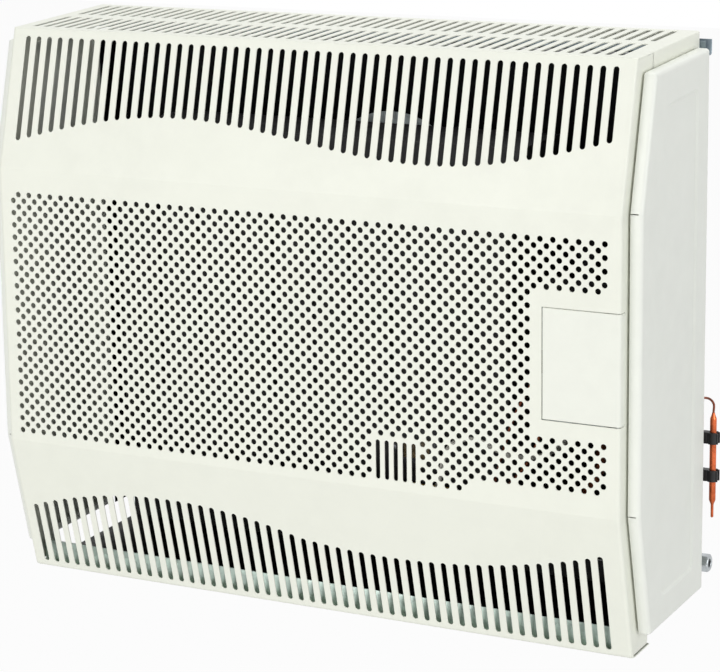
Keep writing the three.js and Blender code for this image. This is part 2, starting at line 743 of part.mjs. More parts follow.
function sightFrame() {
  const [outerX, outerZ] = sightSpan(-sight.frame / 2);
  const [seatX, seatZ] = sightSpan(sight.frame / 2 - CLEAR);
  const [holeX, holeZ] = sightSpan(sight.frame);
  return without(
    block(outerX, [sightFace, glassBack], outerZ),
    block(seatX, [glassFront - CLEAR, glassBack + 1], seatZ),
    block(holeX, [sightFace - 1, glassBack], holeZ),
    ...sightScrewX.map((x) => screwHole('y', x, sight.z, sightFace)));
}
add('sight_glass_frame', sightFrame(), steel);

// ---------------------------------------------------------------- control panel

const panelFront = panel.y - panel.thickness;
const buttonHole = rod('y', piezo.buttonRadius + RUNNING, panelFront - 1, panel.y + 1, [piezo.x, piezo.z], 20);

function controlPanel() {
  const spindleHole = rod('y', spindle.collarRadius + CLEAR, panelFront - 1, panel.y + 1, [valve.x, valve.z]);
  const face = block([panel.left, panel.right], [panelFront, panel.y], [panel.bottom, panel.top]);
  const legSpan = [panel.top - panel.legHeight, panel.top];
  const legEnd = panel.y + panel.legDepth;
  const leg = block([panel.right - sheet, panel.right], [panelFront, legEnd], legSpan);
  const foot = block([panel.right - sheet, frame.halfWidth - sheet - CLEAR], [legEnd - panel.footDepth, legEnd],
    legSpan);
  return without(joined(face, leg, foot), spindleHole, buttonHole);
}
add('control_panel', controlPanel(), galvanised);

// ---------------------------------------------------------------- gas valve, spindle and knob

const valveFront = valve.y - valve.depth;
const valveLow = valve.z - valve.height / 2;
const bossFace = valveFront - valve.boss.length;
const spindleRear = valveFront + 11;
const spindleTip = panelFront - spindle.proud;

// Where the pipes meet the valve's ports.
const valvePortY = valve.y - valve.depth / 2;
const portFace = valveLow - valve.mainPort.length - CLEAR;
const pilotPortY = valve.y - valve.sidePort.pilotDepth;
const magnetPortY = valve.y - valve.sidePort.magnetDepth;
const sidePortX = valve.x - valve.width / 2 - valve.sidePort.length - CLEAR;
const sidePortZ = valve.z + valve.sidePort.above;

function gasValve() {
  const core = block([valve.x - valve.width / 2, valve.x + valve.width / 2], [valveFront, valve.y],
    [valveLow, valveLow + valve.height]);
  const boss = rod('y', valve.boss.radius, bossFace, valveFront + 1, [valve.x, valve.z], 24);
  const bore = rod('y', spindle.radius + RUNNING, bossFace - 1, spindleRear + 1, [valve.x, valve.z]);
  const { radius, offset } = valve.mainPort;
  const ports = [-offset, offset].map((dx) => rod('z', radius, portFace + CLEAR, valveLow + 1,
    [valve.x + dx, valvePortY], 6));
  const sidePorts = [pilotPortY, magnetPortY].map((y) => rod('x', valve.sidePort.radius, sidePortX + CLEAR,
    valve.x - valve.width / 2 + 1, [y, sidePortZ], 6));
  return without(joined(core, boss, ...ports, ...sidePorts), bore);
}
add('gas_valve', gasValve(), aluminium);

function valveBracket() {
  const { halfWidth: half, below, above, rise, thickness } = valveMount;
  const back = valve.y + CLEAR;
  const wall = -sheet - CLEAR;
  const arm = valve.z + above - thickness;
  const x = [valve.x - half, valve.x + half];
  return joined(
    block(x, [back, back + thickness], [valve.z - below, valve.z + above]),
    block(x, [back, wall], [arm, valve.z + above]),
    block(x, [wall - thickness, wall], [arm, valve.z + rise]));
}
add('valve_bracket', valveBracket(), galvanised);

function valveSpindle() {
  const collarBack = bossFace - CLEAR;
  return joined(
    rod('y', spindle.radius, spindleTip, spindleRear, [valve.x, valve.z]),
    rod('y', spindle.collarRadius, collarBack - spindle.collar, collarBack, [valve.x, valve.z]));
}
add('valve_spindle', valveSpindle(), brass, [valve.x, spindleTip, valve.z]);

// The knob slides on the spindle against its spring, and turns with it.
const knobBack = panelFront - knob.travel - 1;

function controlKnob() {
  const grips = Array.from({ length: 2 * knob.gripCount }, (_, i) => {
    const angle = (i / (2 * knob.gripCount)) * 2 * Math.PI;
    const radius = knob.radius - (i % 2 ? knob.gripDepth : 0);
    return [valve.x + radius * Math.cos(angle), valve.z + radius * Math.sin(angle)];
  });
  const body = prismY(grips, knobBack - knob.depth, knobBack - knob.skirt / 2);
  const skirt = rod('y', knob.skirtRadius, knobBack - knob.skirt, knobBack, [valve.x, valve.z], 32);
  const bore = rod('y', spindle.radius + RUNNING, spindleTip - knob.travel - 1, knobBack + 1, [valve.x, valve.z]);
  const pointer = block([valve.x - 1.2, valve.x + 1.2], [knobBack - knob.depth - 0.8, knobBack - knob.depth + 1],
    [valve.z + 6, valve.z + knob.radius - 4]);
  return without(joined(body, skirt, pointer), bore);
}
add('control_knob', controlKnob(), blackPlastic, [valve.x, knobBack, valve.z]);

// ---------------------------------------------------------------- piezo igniter

const piezoNose = panel.y + CLEAR;

add('piezo_igniter', without(
  rod('y', piezo.radius, piezoNose, piezoNose + piezo.length, [piezo.x, piezo.z]),
  rod('y', piezo.radius - piezo.wall, piezoNose - 1, piezoNose + 2 * piezo.travel + CLEAR, [piezo.x, piezo.z])),
blackPlastic);
add('piezo_button', joined(
  rod('y', piezo.buttonRadius, panelFront - piezo.buttonProud, piezoNose + piezo.travel, [piezo.x, piezo.z]),
  rod('y', piezo.radius - piezo.wall - CLEAR, panel.y + CLEAR, panel.y + CLEAR + 1.5, [piezo.x, piezo.z])),
redPlastic, [piezo.x, panelFront, piezo.z]);

// ---------------------------------------------------------------- gas inlet and pipes

const nutFace = frame.halfWidth + inlet.reach;
const inletTop = inletZ + inlet.riser;

function inletElbow() {
  const arm = rod('x', inlet.armRadius, inlet.x, nutFace, [inlet.y, inletZ], 16);
  const riser = rod('z', inlet.bodyRadius, inletZ - inlet.bodyRadius, inletTop, [inlet.x, inlet.y], 16);
  return joined(arm, riser);
}
add('gas_inlet_elbow', inletElbow(), brass);

add('gas_inlet_nut', without(
  rod('x', inlet.nutRadius, nutFace + CLEAR, nutFace + CLEAR + inlet.nutLength, [inlet.y, inletZ], 6),
  rod('x', inlet.bore, nutFace, nutFace + inlet.nutLength + 1, [inlet.y, inletZ], 16)), galvanised);

add('gas_inlet_pipe', tubeAlong([
  [inlet.x, inlet.y, inletTop + CLEAR],
  [inlet.x, inlet.y, inletTop + 24],
  [inlet.x, inlet.y - 30, inletTop + 58],
  [valve.x + valve.mainPort.offset, valvePortY + 10, portFace - 60],
  [valve.x + valve.mainPort.offset, valvePortY, portFace - 24],
  [valve.x + valve.mainPort.offset, valvePortY, portFace],
], gasPipe.radius, 8, 18), copper);

const injectorX = burnerBox.right + 12 + CLEAR;
add('burner_supply_pipe', tubeAlong([
  [valve.x - valve.mainPort.offset, valvePortY, portFace],
  [valve.x - valve.mainPort.offset, valvePortY, portFace - 30],
  [valve.x - 22, burner.y, burnerZ + 50],
  [valve.x - 44, burner.y, burnerZ + 10],
  [injectorX + 30, burner.y, burnerZ],
  [injectorX, burner.y, burnerZ],
], gasPipe.radius, 8, 18), copper);

// ---------------------------------------------------------------- pilot, thermocouple and ignition

const pilotFace = burnerBox.front - CLEAR;
const pilotHeadZ = boxTop - 12;

function pilotBurner() {
  const plate = block(
    [pilotSpanX[0] - pilot.flange, pilotSpanX[1] + pilot.flange],
    [pilotFace - sheet, pilotFace],
    [pilotSpanZ[0] - pilot.flange, pilotSpanZ[1] + pilot.flange]);
  const arm = rod('y', 4.5, pilotFace - 16, burner.y - burner.radius - 8, [pilot.x, pilotMiddle], 12);
  const head = rod('z', 5, pilotMiddle - 5, pilotHeadZ, [pilot.x, burner.y - burner.radius - 8], 12);
  const holesInPlate = [-13, 13].map((dx) => rod('y', 3 + CLEAR, pilotFace - 3, pilotFace + 1,
    [pilot.x + dx, pilotMiddle], 12));
  return without(joined(plate, arm, head), ...holesInPlate);
}
add('pilot_burner', pilotBurner(), brass);

add('thermocouple', joined(
  rod('y', 3, pilotFace - 14, burner.y - burner.radius - 10, [pilot.x - 13, pilotMiddle], 12),
  rod('z', 2.2, pilotMiddle - 2, pilotHeadZ, [pilot.x - 13, burner.y - burner.radius - 12], 10)), copper);
add('ignition_electrode', joined(
  rod('y', 3, pilotFace - 14, burner.y - burner.radius - 12, [pilot.x + 13, pilotMiddle], 12),
  rod('y', 1.2, burner.y - burner.radius - 13, burner.y - burner.radius - 4, [pilot.x + 13, pilotMiddle], 8)), ceramic);

add('pilot_pipe', tubeAlong([
  [sidePortX, pilotPortY, sidePortZ],
  [sidePortX - 11, pilotPortY, sidePortZ],
  [sidePortX - 21, valve.y - 32, valve.z - 32],
  [sidePortX - 29, pilotFace - 6, pilotMiddle + 73],
  [pilot.x + 86, pilotFace - 18, pilotMiddle + 23],
  [pilot.x + 40, pilotFace - 20, pilotMiddle - 13],
  [pilot.x + 16, pilotFace - 26, pilotMiddle - 9],
  [pilot.x, pilotFace - 30, pilotMiddle],
  [pilot.x, pilotFace - 16 - CLEAR, pilotMiddle],
], thinPipe.radius, 6, 26), copper);

add('thermocouple_lead', tubeAlong([
  [sidePortX, magnetPortY, sidePortZ],
  [sidePortX - 11, magnetPortY, sidePortZ],
  [sidePortX - 25, valve.y - 52, valve.z - 32],
  [sidePortX - 45, pilotFace - 20, valve.z - 82],
  [pilot.x + 95, pilotFace - 26, pilotMiddle + 63],
  [pilot.x + 80, pilotFace - 30, pilotMiddle + 13],
  [pilot.x + 40, pilotFace - 32, pilotMiddle - 23],
  [pilot.x - 6, pilotFace - 32, pilotMiddle - 23],
  [pilot.x - 13, pilotFace - 30, pilotMiddle - 6],
  [pilot.x - 13, pilotFace - 26, pilotMiddle],
  [pilot.x - 13, pilotFace - 14 - CLEAR, pilotMiddle],
], thinPipe.leadRadius, 6, 30), copper);

add('ignition_lead', tubeAlong([
  [piezo.x, piezoNose + piezo.length + CLEAR, piezo.z],
  [piezo.x, piezoNose + piezo.length + 18, piezo.z],
  [piezo.x - 6, piezoNose + piezo.length + 34, piezo.z - 20],
  [piezo.x - 40, piezoNose + piezo.length + 24, piezo.z - 48],
  [piezo.x - 56, pilotFace, piezo.z - 64],
  [pilot.x + 112, pilotFace - 36, pilotMiddle + 73],
  [pilot.x + 76, pilotFace - 48, pilotMiddle + 89],
  [pilot.x + 50, pilotFace - 50, pilotMiddle + 77],
  [pilot.x + 38, pilotFace - 48, pilotMiddle + 38],
  [pilot.x + 26, pilotFace - 44, pilotMiddle + 8],
  [pilot.x + 13, pilotFace - 34, pilotMiddle],
  [pilot.x + 13, pilotFace - 14 - CLEAR, pilotMiddle],
], lead.radius, 6, 32), whiteSilicone);

// ---------------------------------------------------------------- room thermostat bulb

function sensorBulb() {
  const points = [
    [0, bulb.bottom - bulb.tail], [bulb.neck, bulb.bottom - bulb.tail], [bulb.neck, bulb.bottom - 4],
    [bulb.radius, bulb.bottom], [bulb.radius, bulb.top], [bulb.neck, bulb.top + 5], [0, bulb.top + 5],
  ];
  const lathe = new THREE.LatheGeometry(points.map(([r, z]) => new THREE.Vector2(r, z)), 12);
  return solid(lathe.rotateX(Math.PI / 2).translate(bulb.x, bulb.y, 0));
}
add('thermostat_bulb', sensorBulb(), copper, [bulb.x, bulb.y, bulb.top]);

const clipFoot = frame.halfWidth + CLEAR;
clip.places.forEach((z, i) => {
  const height = [z - clip.height / 2, z + clip.height / 2];
  add(`bulb_clip_${i === 0 ? 'upper' : 'lower'}`, without(
    joined(
      rod('z', clip.radius, ...height, [bulb.x, bulb.y], 16),
      block([clipFoot, bulb.x], [bulb.y - clip.foot / 2, bulb.y + clip.foot / 2], height)),
    rod('z', bulb.radius + CLEAR, height[0] - 1, height[1] + 1, [bulb.x, bulb.y], 16)), blackPlastic);
});

add('capillary_tube', tubeAlong([
  [bulb.x, bulb.y, bulb.top + 5 + CLEAR],
  [bulb.x, bulb.y, bulb.top + 14],
  [bulb.x - 3, bulb.y - 7, capillaryExit - 4],
  [bulb.x - 9, coverBack - 4, capillaryExit],
  [bulb.x - 16, coverBack - 12, capillaryExit + 2],
  [frame.halfWidth - 2, -frame.flange - 12, capillaryExit + 8],
  [valve.x + 24, valve.y + 34, valve.z - 40],
  [valve.x + 24, valve.y + 18, valve.z - 10],
  [valve.x + 24, valve.y + CLEAR, valve.z - 10],
], capillary.radius, 5, 28), copper);

// ---------------------------------------------------------------- screws

// A pan head screw along an axis. Its head lies before the seat, and its shank goes past it.
function panScrew(axis, seat, centre) {
  return joined(
    rod(axis, screw.headRadius, seat - CLEAR - screw.head, seat - CLEAR, centre, 12),
    rod(axis, screw.radius, seat - CLEAR - 1, seat + screw.length, centre, 8));
}

sightScrewX.forEach((x, i) => {
  add(`sight_screw_${i === 0 ? 'left' : 'right'}`, panScrew('y', sightFace, [x, sight.z]), steel);
});
sillScrewX.forEach((x, i) => {
  add(`casing_screw_${i === 0 ? 'left' : 'right'}`, panScrew('z', bottom, [x, sillScrewY]), steel);
});

export default heater;
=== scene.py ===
"""Looks of a wall mounted balanced-flue gas heater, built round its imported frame.

Lengths are in millimetres until they reach Blender.
"""
import math

import bmesh
import bpy
import numpy as np
from mathutils import Matrix, Vector, geometry


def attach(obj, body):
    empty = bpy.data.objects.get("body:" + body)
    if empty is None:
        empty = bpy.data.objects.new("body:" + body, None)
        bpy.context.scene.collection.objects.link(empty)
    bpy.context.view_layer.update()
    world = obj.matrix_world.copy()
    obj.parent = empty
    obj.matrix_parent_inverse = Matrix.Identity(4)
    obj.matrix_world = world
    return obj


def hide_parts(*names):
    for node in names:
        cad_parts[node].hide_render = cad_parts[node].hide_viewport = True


MM = 0.001
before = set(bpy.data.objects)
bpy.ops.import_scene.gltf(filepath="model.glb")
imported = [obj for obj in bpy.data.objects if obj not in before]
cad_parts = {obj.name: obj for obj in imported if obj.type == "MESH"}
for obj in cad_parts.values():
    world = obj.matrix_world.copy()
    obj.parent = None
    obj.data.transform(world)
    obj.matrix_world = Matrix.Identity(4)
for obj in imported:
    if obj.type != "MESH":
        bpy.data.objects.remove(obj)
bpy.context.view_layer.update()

# Sizes, as in the solids
SHEET = 1.2
HALF, TOP, BOTTOM = 345.0, 293.0, -293.0
FRONT, UPPER_BEND, LOWER_BEND = -230.0, 151.0, -141.5
TOP_FRONT, LOW_FRONT = FRONT + 38, FRONT + 38.5
TOP_DEPTH, TOP_RISE = 173.0, 6.0
TOP_BACK = TOP_FRONT + TOP_DEPTH
RETURN, SILL, CHEEK, REAR_FLANGE = 40.0, 42.0, 20.0, 12.0
CORNER = 3.5  # radius of the casing's upright edges
DOOR_LEFT, DOOR_LOW, DOOR_HIGH = 265.0, -51.5, 59.0
DOOR_TURN = 1.2  # radius of the door's other edges
RAIL_HALF = 351

# Openings of the casing
PITCH = 13.0  # of the slots, and twice the step of the perforation's columns and rows
SLOTS, SLOT_WIDTH = 51, 5.9
COLUMNS, ROWS, HOLE_RADIUS = 102, 40, 3.0
PEEP_COLUMNS, PEEP_WIDTH = (64.5, 66, 67.5, 69, 70.5), 4.7


def add(name, data):
    """Puts a new object into the scene."""
    thing = bpy.data.objects.new(name, data)
    bpy.context.scene.collection.objects.link(thing)
    return thing


def unit(way):
    return way / np.linalg.norm(way)


# Camera


def set_camera():
    """The photograph's camera, fitted to the perforation, the slots and the casing's corners."""
    data = bpy.data.cameras.new("camera")
    data.lens = 127.7723
    data.sensor_width = 36
    data.shift_y = -80 / 720
    data.clip_start, data.clip_end = 0.05, 60
    camera = add("camera", data)
    right = Vector((0.893770, 0.448322, -0.013498))
    ahead = Vector((-0.441083, 0.873084, -0.207775))
    up = Vector((-0.081365, 0.191657, 0.978083))
    turn = Matrix((right, up, -ahead)).transposed().to_4x4()
    camera.matrix_world = Matrix.Translation((1.169396, -2.397208, 0.607666)) @ turn
    bpy.context.scene.camera = camera


set_camera()


# Materials

def linear(colour):
    """A colour written as it looks, as the renderer counts it."""
    return [c / 12.92 if c <= 0.04045 else ((c + 0.055) / 1.055) ** 2.4 for c in colour]


def maths(tree, operation, a, b=None):
    """What a Math node makes of a socket and another socket or number."""
    node = tree.nodes.new("ShaderNodeMath")
    node.operation = operation
    tree.links.new(a, node.inputs[0])
    if isinstance(b, bpy.types.NodeSocket):
        tree.links.new(b, node.inputs[1])
    elif b is not None:
        node.inputs[1].default_value = b
    return node.outputs[0]


class Shader:
    """A Principled material built from nodes, with a few short ways to add detail in object space."""

    def __init__(self, name, colour, rough, metallic=0.0):
        self.material = bpy.data.materials.new(name)
        self.material.use_nodes = True
        self.tree = self.material.node_tree
        self.surface = self.tree.nodes["Principled BSDF"]
        self.place = self.node("ShaderNodeTexCoord").outputs["Object"]
        self.base = [*linear(colour), 1]
        self.colour = self.normal = None  # what the last tint and the last bump gave
        self.set("Base Color", self.base)
        self.set("Roughness", rough)
        self.set("Metallic", metallic)

    def node(self, kind, **values):
        node = self.tree.nodes.new(kind)
        for key, value in values.items():
            setattr(node, key, value)
        return node

    def link(self, a, b):
        self.tree.links.new(a, b)

    def set(self, socket, value):
        self.surface.inputs[socket].default_value = value

    def stretched(self, scale):
        mapping = self.node("ShaderNodeMapping")
        self.link(self.place, mapping.inputs["Vector"])
        mapping.inputs["Scale"].default_value = scale
        return mapping.outputs["Vector"]

    def noise(self, scale, detail=2.0, rough=0.5, stretch=None):
        noise = self.node("ShaderNodeTexNoise")
        self.link(self.stretched(stretch) if stretch else self.place, noise.inputs["Vector"])
        noise.inputs["Scale"].default_value = scale
        noise.inputs["Detail"].default_value = detail
        noise.inputs["Roughness"].default_value = rough
        return noise.outputs["Fac"]

    def cells(self, scale):
        cells = self.node("ShaderNodeTexVoronoi")
        self.link(self.place, cells.inputs["Vector"])
        cells.inputs["Scale"].default_value = scale
        return cells.outputs["Color"]

    def ramp(self, factor, low, high, start=0.0, end=1.0):
        ranged = self.node("ShaderNodeMapRange")
        self.link(factor, ranged.inputs["Value"])
        for key, value in (("From Min", start), ("From Max", end), ("To Min", low), ("To Max", high)):
            ranged.inputs[key].default_value = value
        return ranged.outputs["Result"]

    def within(self, limits):
        """1 where every limit holds: an axis, 1 for under or -1 for over, and metres. X counts both ways."""
        axes = self.node("ShaderNodeSeparateXYZ")
        self.link(self.place, axes.inputs[0])
        share = None
        for axis, sign, limit in limits:
            value = maths(self.tree, "ABSOLUTE", axes.outputs[axis]) if axis == "X" else axes.outputs[axis]
            test = maths(self.tree, "LESS_THAN" if sign > 0 else "GREATER_THAN", value, limit)
            share = maths(self.tree, "MULTIPLY", share, test) if share is not None else test
        return share

    def cover(self, factor, colour):
        """Lays a colour over what there is, by the factor."""
        mix = self.node("ShaderNodeMix", data_type="RGBA")
        self.link(factor, mix.inputs["Factor"])
        if self.colour is None:
            mix.inputs[6].default_value = self.base
        else:
            self.link(self.colour, mix.inputs[6])
        mix.inputs[7].default_value = [*linear(colour), 1]
        self.colour = mix.outputs[2]
        self.link(self.colour, self.surface.inputs["Base Color"])

    def tint(self, factor, colour, amount=1.0, start=0.35, end=0.65):
        """Mixes another colour in where the factor is high."""
        self.cover(self.ramp(factor, 0.0, amount, start, end), colour)

    def rough(self, factor, low, high, start=0.3, end=0.7):
        self.link(self.ramp(factor, low, high, start, end), self.surface.inputs["Roughness"])

    def bump(self, factor, strength, depth):
        """Adds relief. Depth is in metres."""
        bump = self.node("ShaderNodeBump")
        bump.inputs["Strength"].default_value = strength
        bump.inputs["Distance"].default_value = depth
        self.link(factor, bump.inputs["Height"])
        if self.normal is not None:
            self.link(self.normal, bump.inputs["Normal"])
        self.normal = bump.outputs["Normal"]
        self.link(self.normal, self.surface.inputs["Normal"])


def painted(name, colour):
    """Stoved powder coat with its fine orange peel."""
    s = Shader(name, colour, 0.42)
    s.tint(s.noise(4, 3), [c * 0.985 for c in colour])
    s.tint(s.noise(38, 4, 0.6), [c * 1.008 for c in colour], 0.6)
    s.rough(s.noise(24, 3), 0.38, 0.48)
    s.bump(s.noise(520, 2, 0.45), 0.16, 0.0004)
    s.bump(s.noise(9, 2), 0.10, 0.0016)
    return s.material


GALVANISED = (0.70, 0.735, 0.74)
# Dark colour of painted shade, laid on sheets inside the casing where shade falls.
PAINTED_SHADE_COLOUR = (0.05, 0.055, 0.055)


def zinc(name, colour=GALVANISED, painted_shade=None, limits=()):
    """Galvanised sheet: spangle in patches, dull white bloom, and painted shade, a dark colour, within the
    limits.
    """
    s = Shader(name, colour, 0.42, 0.75)
    flakes = s.cells(75)
    s.tint(flakes, [c * 1.16 for c in colour], 0.75, 0.2, 0.9)
    s.tint(s.noise(30, 5, 0.65), [c * 0.76 for c in colour], 0.6, 0.45, 0.75)
    s.rough(flakes, 0.30, 0.55, 0.0, 1.0)
    s.bump(s.noise(210, 3), 0.12, 0.0004)
    # Painted shade: the dark colour covers the sheet within the limits.
    if painted_shade:
        s.cover(s.within(limits), painted_shade)
    return s.material


def plated(name, colour, rough=0.3, lay=(1, 1, 1)):
    """Turned or rolled metal with a fine lay and a little dulling."""
    s = Shader(name, colour, rough, 0.95)
    s.tint(s.noise(60, 4, 0.6), [c * 0.72 for c in colour], 0.7, 0.4, 0.75)
    s.rough(s.noise(150, 3, 0.6, lay), rough * 0.75, rough * 1.5)
    s.bump(s.noise(600, 2, 0.5, lay), 0.10, 0.0003)
    return s.material


def cast(name, colour):
    """Die cast metal with a sandy skin."""
    s = Shader(name, colour, 0.5, 0.85)
    s.tint(s.noise(45, 5, 0.7), [c * 0.74 for c in colour], 0.7, 0.4, 0.7)
    s.rough(s.noise(120, 3), 0.42, 0.62)
    s.bump(s.noise(850, 3, 0.6), 0.35, 0.0004)
    return s.material


def copper_like(name, colour, dark, rough=0.32):
    """Drawn tube that has begun to tarnish."""
    s = Shader(name, colour, rough, 0.92)
    s.tint(s.noise(42, 5, 0.65), dark, 0.85, 0.42, 0.7)
    s.tint(s.noise(210, 3, 0.6), [c * 0.8 for c in dark], 0.5, 0.55, 0.8)
    s.rough(s.noise(70, 4), rough * 0.7, rough * 1.7)
    s.bump(s.noise(480, 2), 0.10, 0.0003)
    return s.material


def enamel(name, colour):
    """Stove enamel over pressed steel."""
    s = Shader(name, colour, 0.5)
    s.tint(s.noise(14, 5, 0.6), [c * 0.6 for c in colour], 0.8, 0.35, 0.7)
    s.tint(s.noise(26, 6, 0.7), (0.30, 0.25, 0.21), 0.35, 0.58, 0.8)
    s.rough(s.noise(33, 4), 0.42, 0.68)
    s.bump(s.noise(340, 3), 0.25, 0.0006)
    return s.material


def moulded(name, colour, rough=0.45):
    """Moulded plastic with a spark-eroded texture."""
    s = Shader(name, colour, rough)
    s.tint(s.noise(20, 3), [min(1, c * 1.25 + 0.01) for c in colour], 0.6)
    s.rough(s.noise(90, 3), rough * 0.8, rough * 1.25)
    s.bump(s.noise(1400, 2), 0.3, 0.0002)
    return s.material


def soft(name, colour, rough, grain, strength):
    """Sealing cord, silicone or fired ceramic."""
    s = Shader(name, colour, rough)
    s.tint(s.noise(30, 5, 0.65), [c * 0.82 for c in colour], 0.8, 0.4, 0.7)
    s.rough(s.noise(80, 3), rough * 0.85, min(1.0, rough * 1.15))
    s.bump(s.noise(grain, 3, 0.6), strength, 0.0006)
    return s.material


CREAM = painted("cream_paint", (0.935, 0.941, 0.893))
DOOR_CREAM = painted("door_paint", (0.937, 0.944, 0.903))
COVER_CREAM = painted("cover_paint", (0.928, 0.936, 0.905))
# Painted shade: the inner skins of the casing sheets are near black, standing for the shade inside the
# casing.
INSIDE_SHADE = moulded("inside_painted_shade", (0.075, 0.075, 0.08), 0.85)
ZINC = zinc("galvanised_sheet")
# Painted shade: the control panel is dark above 60.5 mm, where it shows through the perforation over the
# door.
PANEL_ZINC = zinc("panel_galvanised_painted_shade", GALVANISED, PAINTED_SHADE_COLOUR, [("Z", -1, 0.0605)])
# Painted shade: the back frame is dark on its inner face, between the casing's sides.
BACK_ZINC = zinc("frame_galvanised_painted_shade", GALVANISED, (0.06, 0.065, 0.07), [("Y", 1, -0.0009), ("X", 1, 0.3386)])
# Painted shade: the base tray is dark inside, behind its front lip and above its underside, between its
# ends.
TRAY_ZINC = zinc("tray_galvanised_painted_shade", (0.74, 0.80, 0.77), PAINTED_SHADE_COLOUR,
                 [("Y", -1, -0.13), ("Z", -1, -0.2925), ("X", 1, 0.3354)])
# Galvanised sheet made dark all over.
ZINC_DARK = zinc("darkened_galvanised", (0.16, 0.165, 0.17))
RAIL = zinc("rail_galvanised", (0.52, 0.57, 0.60))
NUT = plated("nut_plating", (0.74, 0.76, 0.77), 0.3)
ENAMEL = enamel("black_enamel", (0.10, 0.10, 0.105))
STEEL = plated("zinc_steel", (0.62, 0.63, 0.64), 0.34)
# Plated steel made dark all over.
STEEL_DARK = plated("darkened_steel", (0.25, 0.255, 0.26), 0.45)
CAST = cast("cast_aluminium", (0.70, 0.715, 0.72))
FOIL = plated("rolled_aluminium", (0.76, 0.77, 0.78), 0.38, (1, 0.1, 1))
BRASS = plated("turned_brass", (0.78, 0.63, 0.33), 0.3, (1, 0.2, 1))
COPPER = copper_like("drawn_copper", (0.50, 0.28, 0.19), (0.24, 0.12, 0.085))
BULB_COPPER = copper_like("bulb_copper", (0.88, 0.45, 0.28), (0.46, 0.20, 0.12), 0.2)
LEAD_COPPER = copper_like("dull_copper", (0.60, 0.34, 0.25), (0.32, 0.17, 0.13), 0.42)
BLACK = moulded("black_plastic", (0.075, 0.075, 0.08))
RED = moulded("red_plastic", (0.66, 0.12, 0.09), 0.32)
MARK = moulded("white_marking", (0.88, 0.88, 0.85), 0.5)
SILICONE = soft("white_silicone", (0.90, 0.89, 0.86), 0.55, 260, 0.2)
CERAMIC = soft("fired_ceramic", (0.93, 0.91, 0.87), 0.32, 500, 0.15)
SEALANT = soft("fibre_seal", (0.27, 0.27, 0.26), 0.95, 190, 0.9)


def sight_glass_material():
    s = Shader("sight_glass", (0.80, 0.72, 0.55), 0.12)
    s.set("Transmission Weight", 0.75)
    s.tint(s.noise(50, 4), (0.55, 0.40, 0.26), 0.6, 0.5, 0.75)
    s.rough(s.noise(40, 3), 0.06, 0.22)
    s.bump(s.noise(90, 2), 0.08, 0.0005)
    return s.material


GLASS = sight_glass_material()


# Meshes


def mesh_of(name, points, faces):
    """A mesh from points in millimetres and faces."""
    mesh = bpy.data.meshes.new(name)
    mesh.from_pydata((np.asarray(points, float) * MM).tolist(), [], [list(f) for f in faces])
    return mesh


def applied(thing):
    """An object's mesh with its modifiers applied."""
    bpy.context.view_layer.update()
    return bpy.data.meshes.new_from_object(thing.evaluated_get(bpy.context.evaluated_depsgraph_get()))


def shade(mesh, degrees):
    """Smooth shading, with sharp edges where faces meet at more than an angle."""
    mesh.polygons.foreach_set("use_smooth", [True] * len(mesh.polygons))
    mesh.set_sharp_from_angle(angle=math.radians(degrees))


def dress(name, mesh, materials, slot, *replaces, body="root", smooth=32):
    """Makes a mesh a piece of the object, on its body and in the place of the nodes it replaces."""
    if len(mesh.materials) != len(materials):
        mesh.materials.clear()
        for material in materials:
            mesh.materials.append(material)
    else:
        for k, material in enumerate(materials):
            mesh.materials[k] = material
    shade(mesh, smooth)
    made = add(name, mesh)
    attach(made, body)
    if replaces:
        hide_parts(*replaces)
    return made


def piece(name, shape, material, slot, *replaces, body="root", smooth=32, inner=None):
    """Makes a piece from points in mm and faces. inner is a finish and the first and last face it covers."""
    mesh = mesh_of(name, *shape)
    materials = [material]
    if inner:
        second, first, last = inner
        materials.append(second)
        mesh.polygons.foreach_set("material_index", [int(first <= i < last) for i in range(len(shape[1]))])
    mesh.validate()
    bm = bmesh.new()
    bm.from_mesh(mesh)
    bmesh.ops.recalc_face_normals(bm, faces=bm.faces[:])
    bm.to_mesh(mesh)
    bm.free()
    return dress(name, mesh, materials, slot, *replaces, body=body, smooth=smooth)


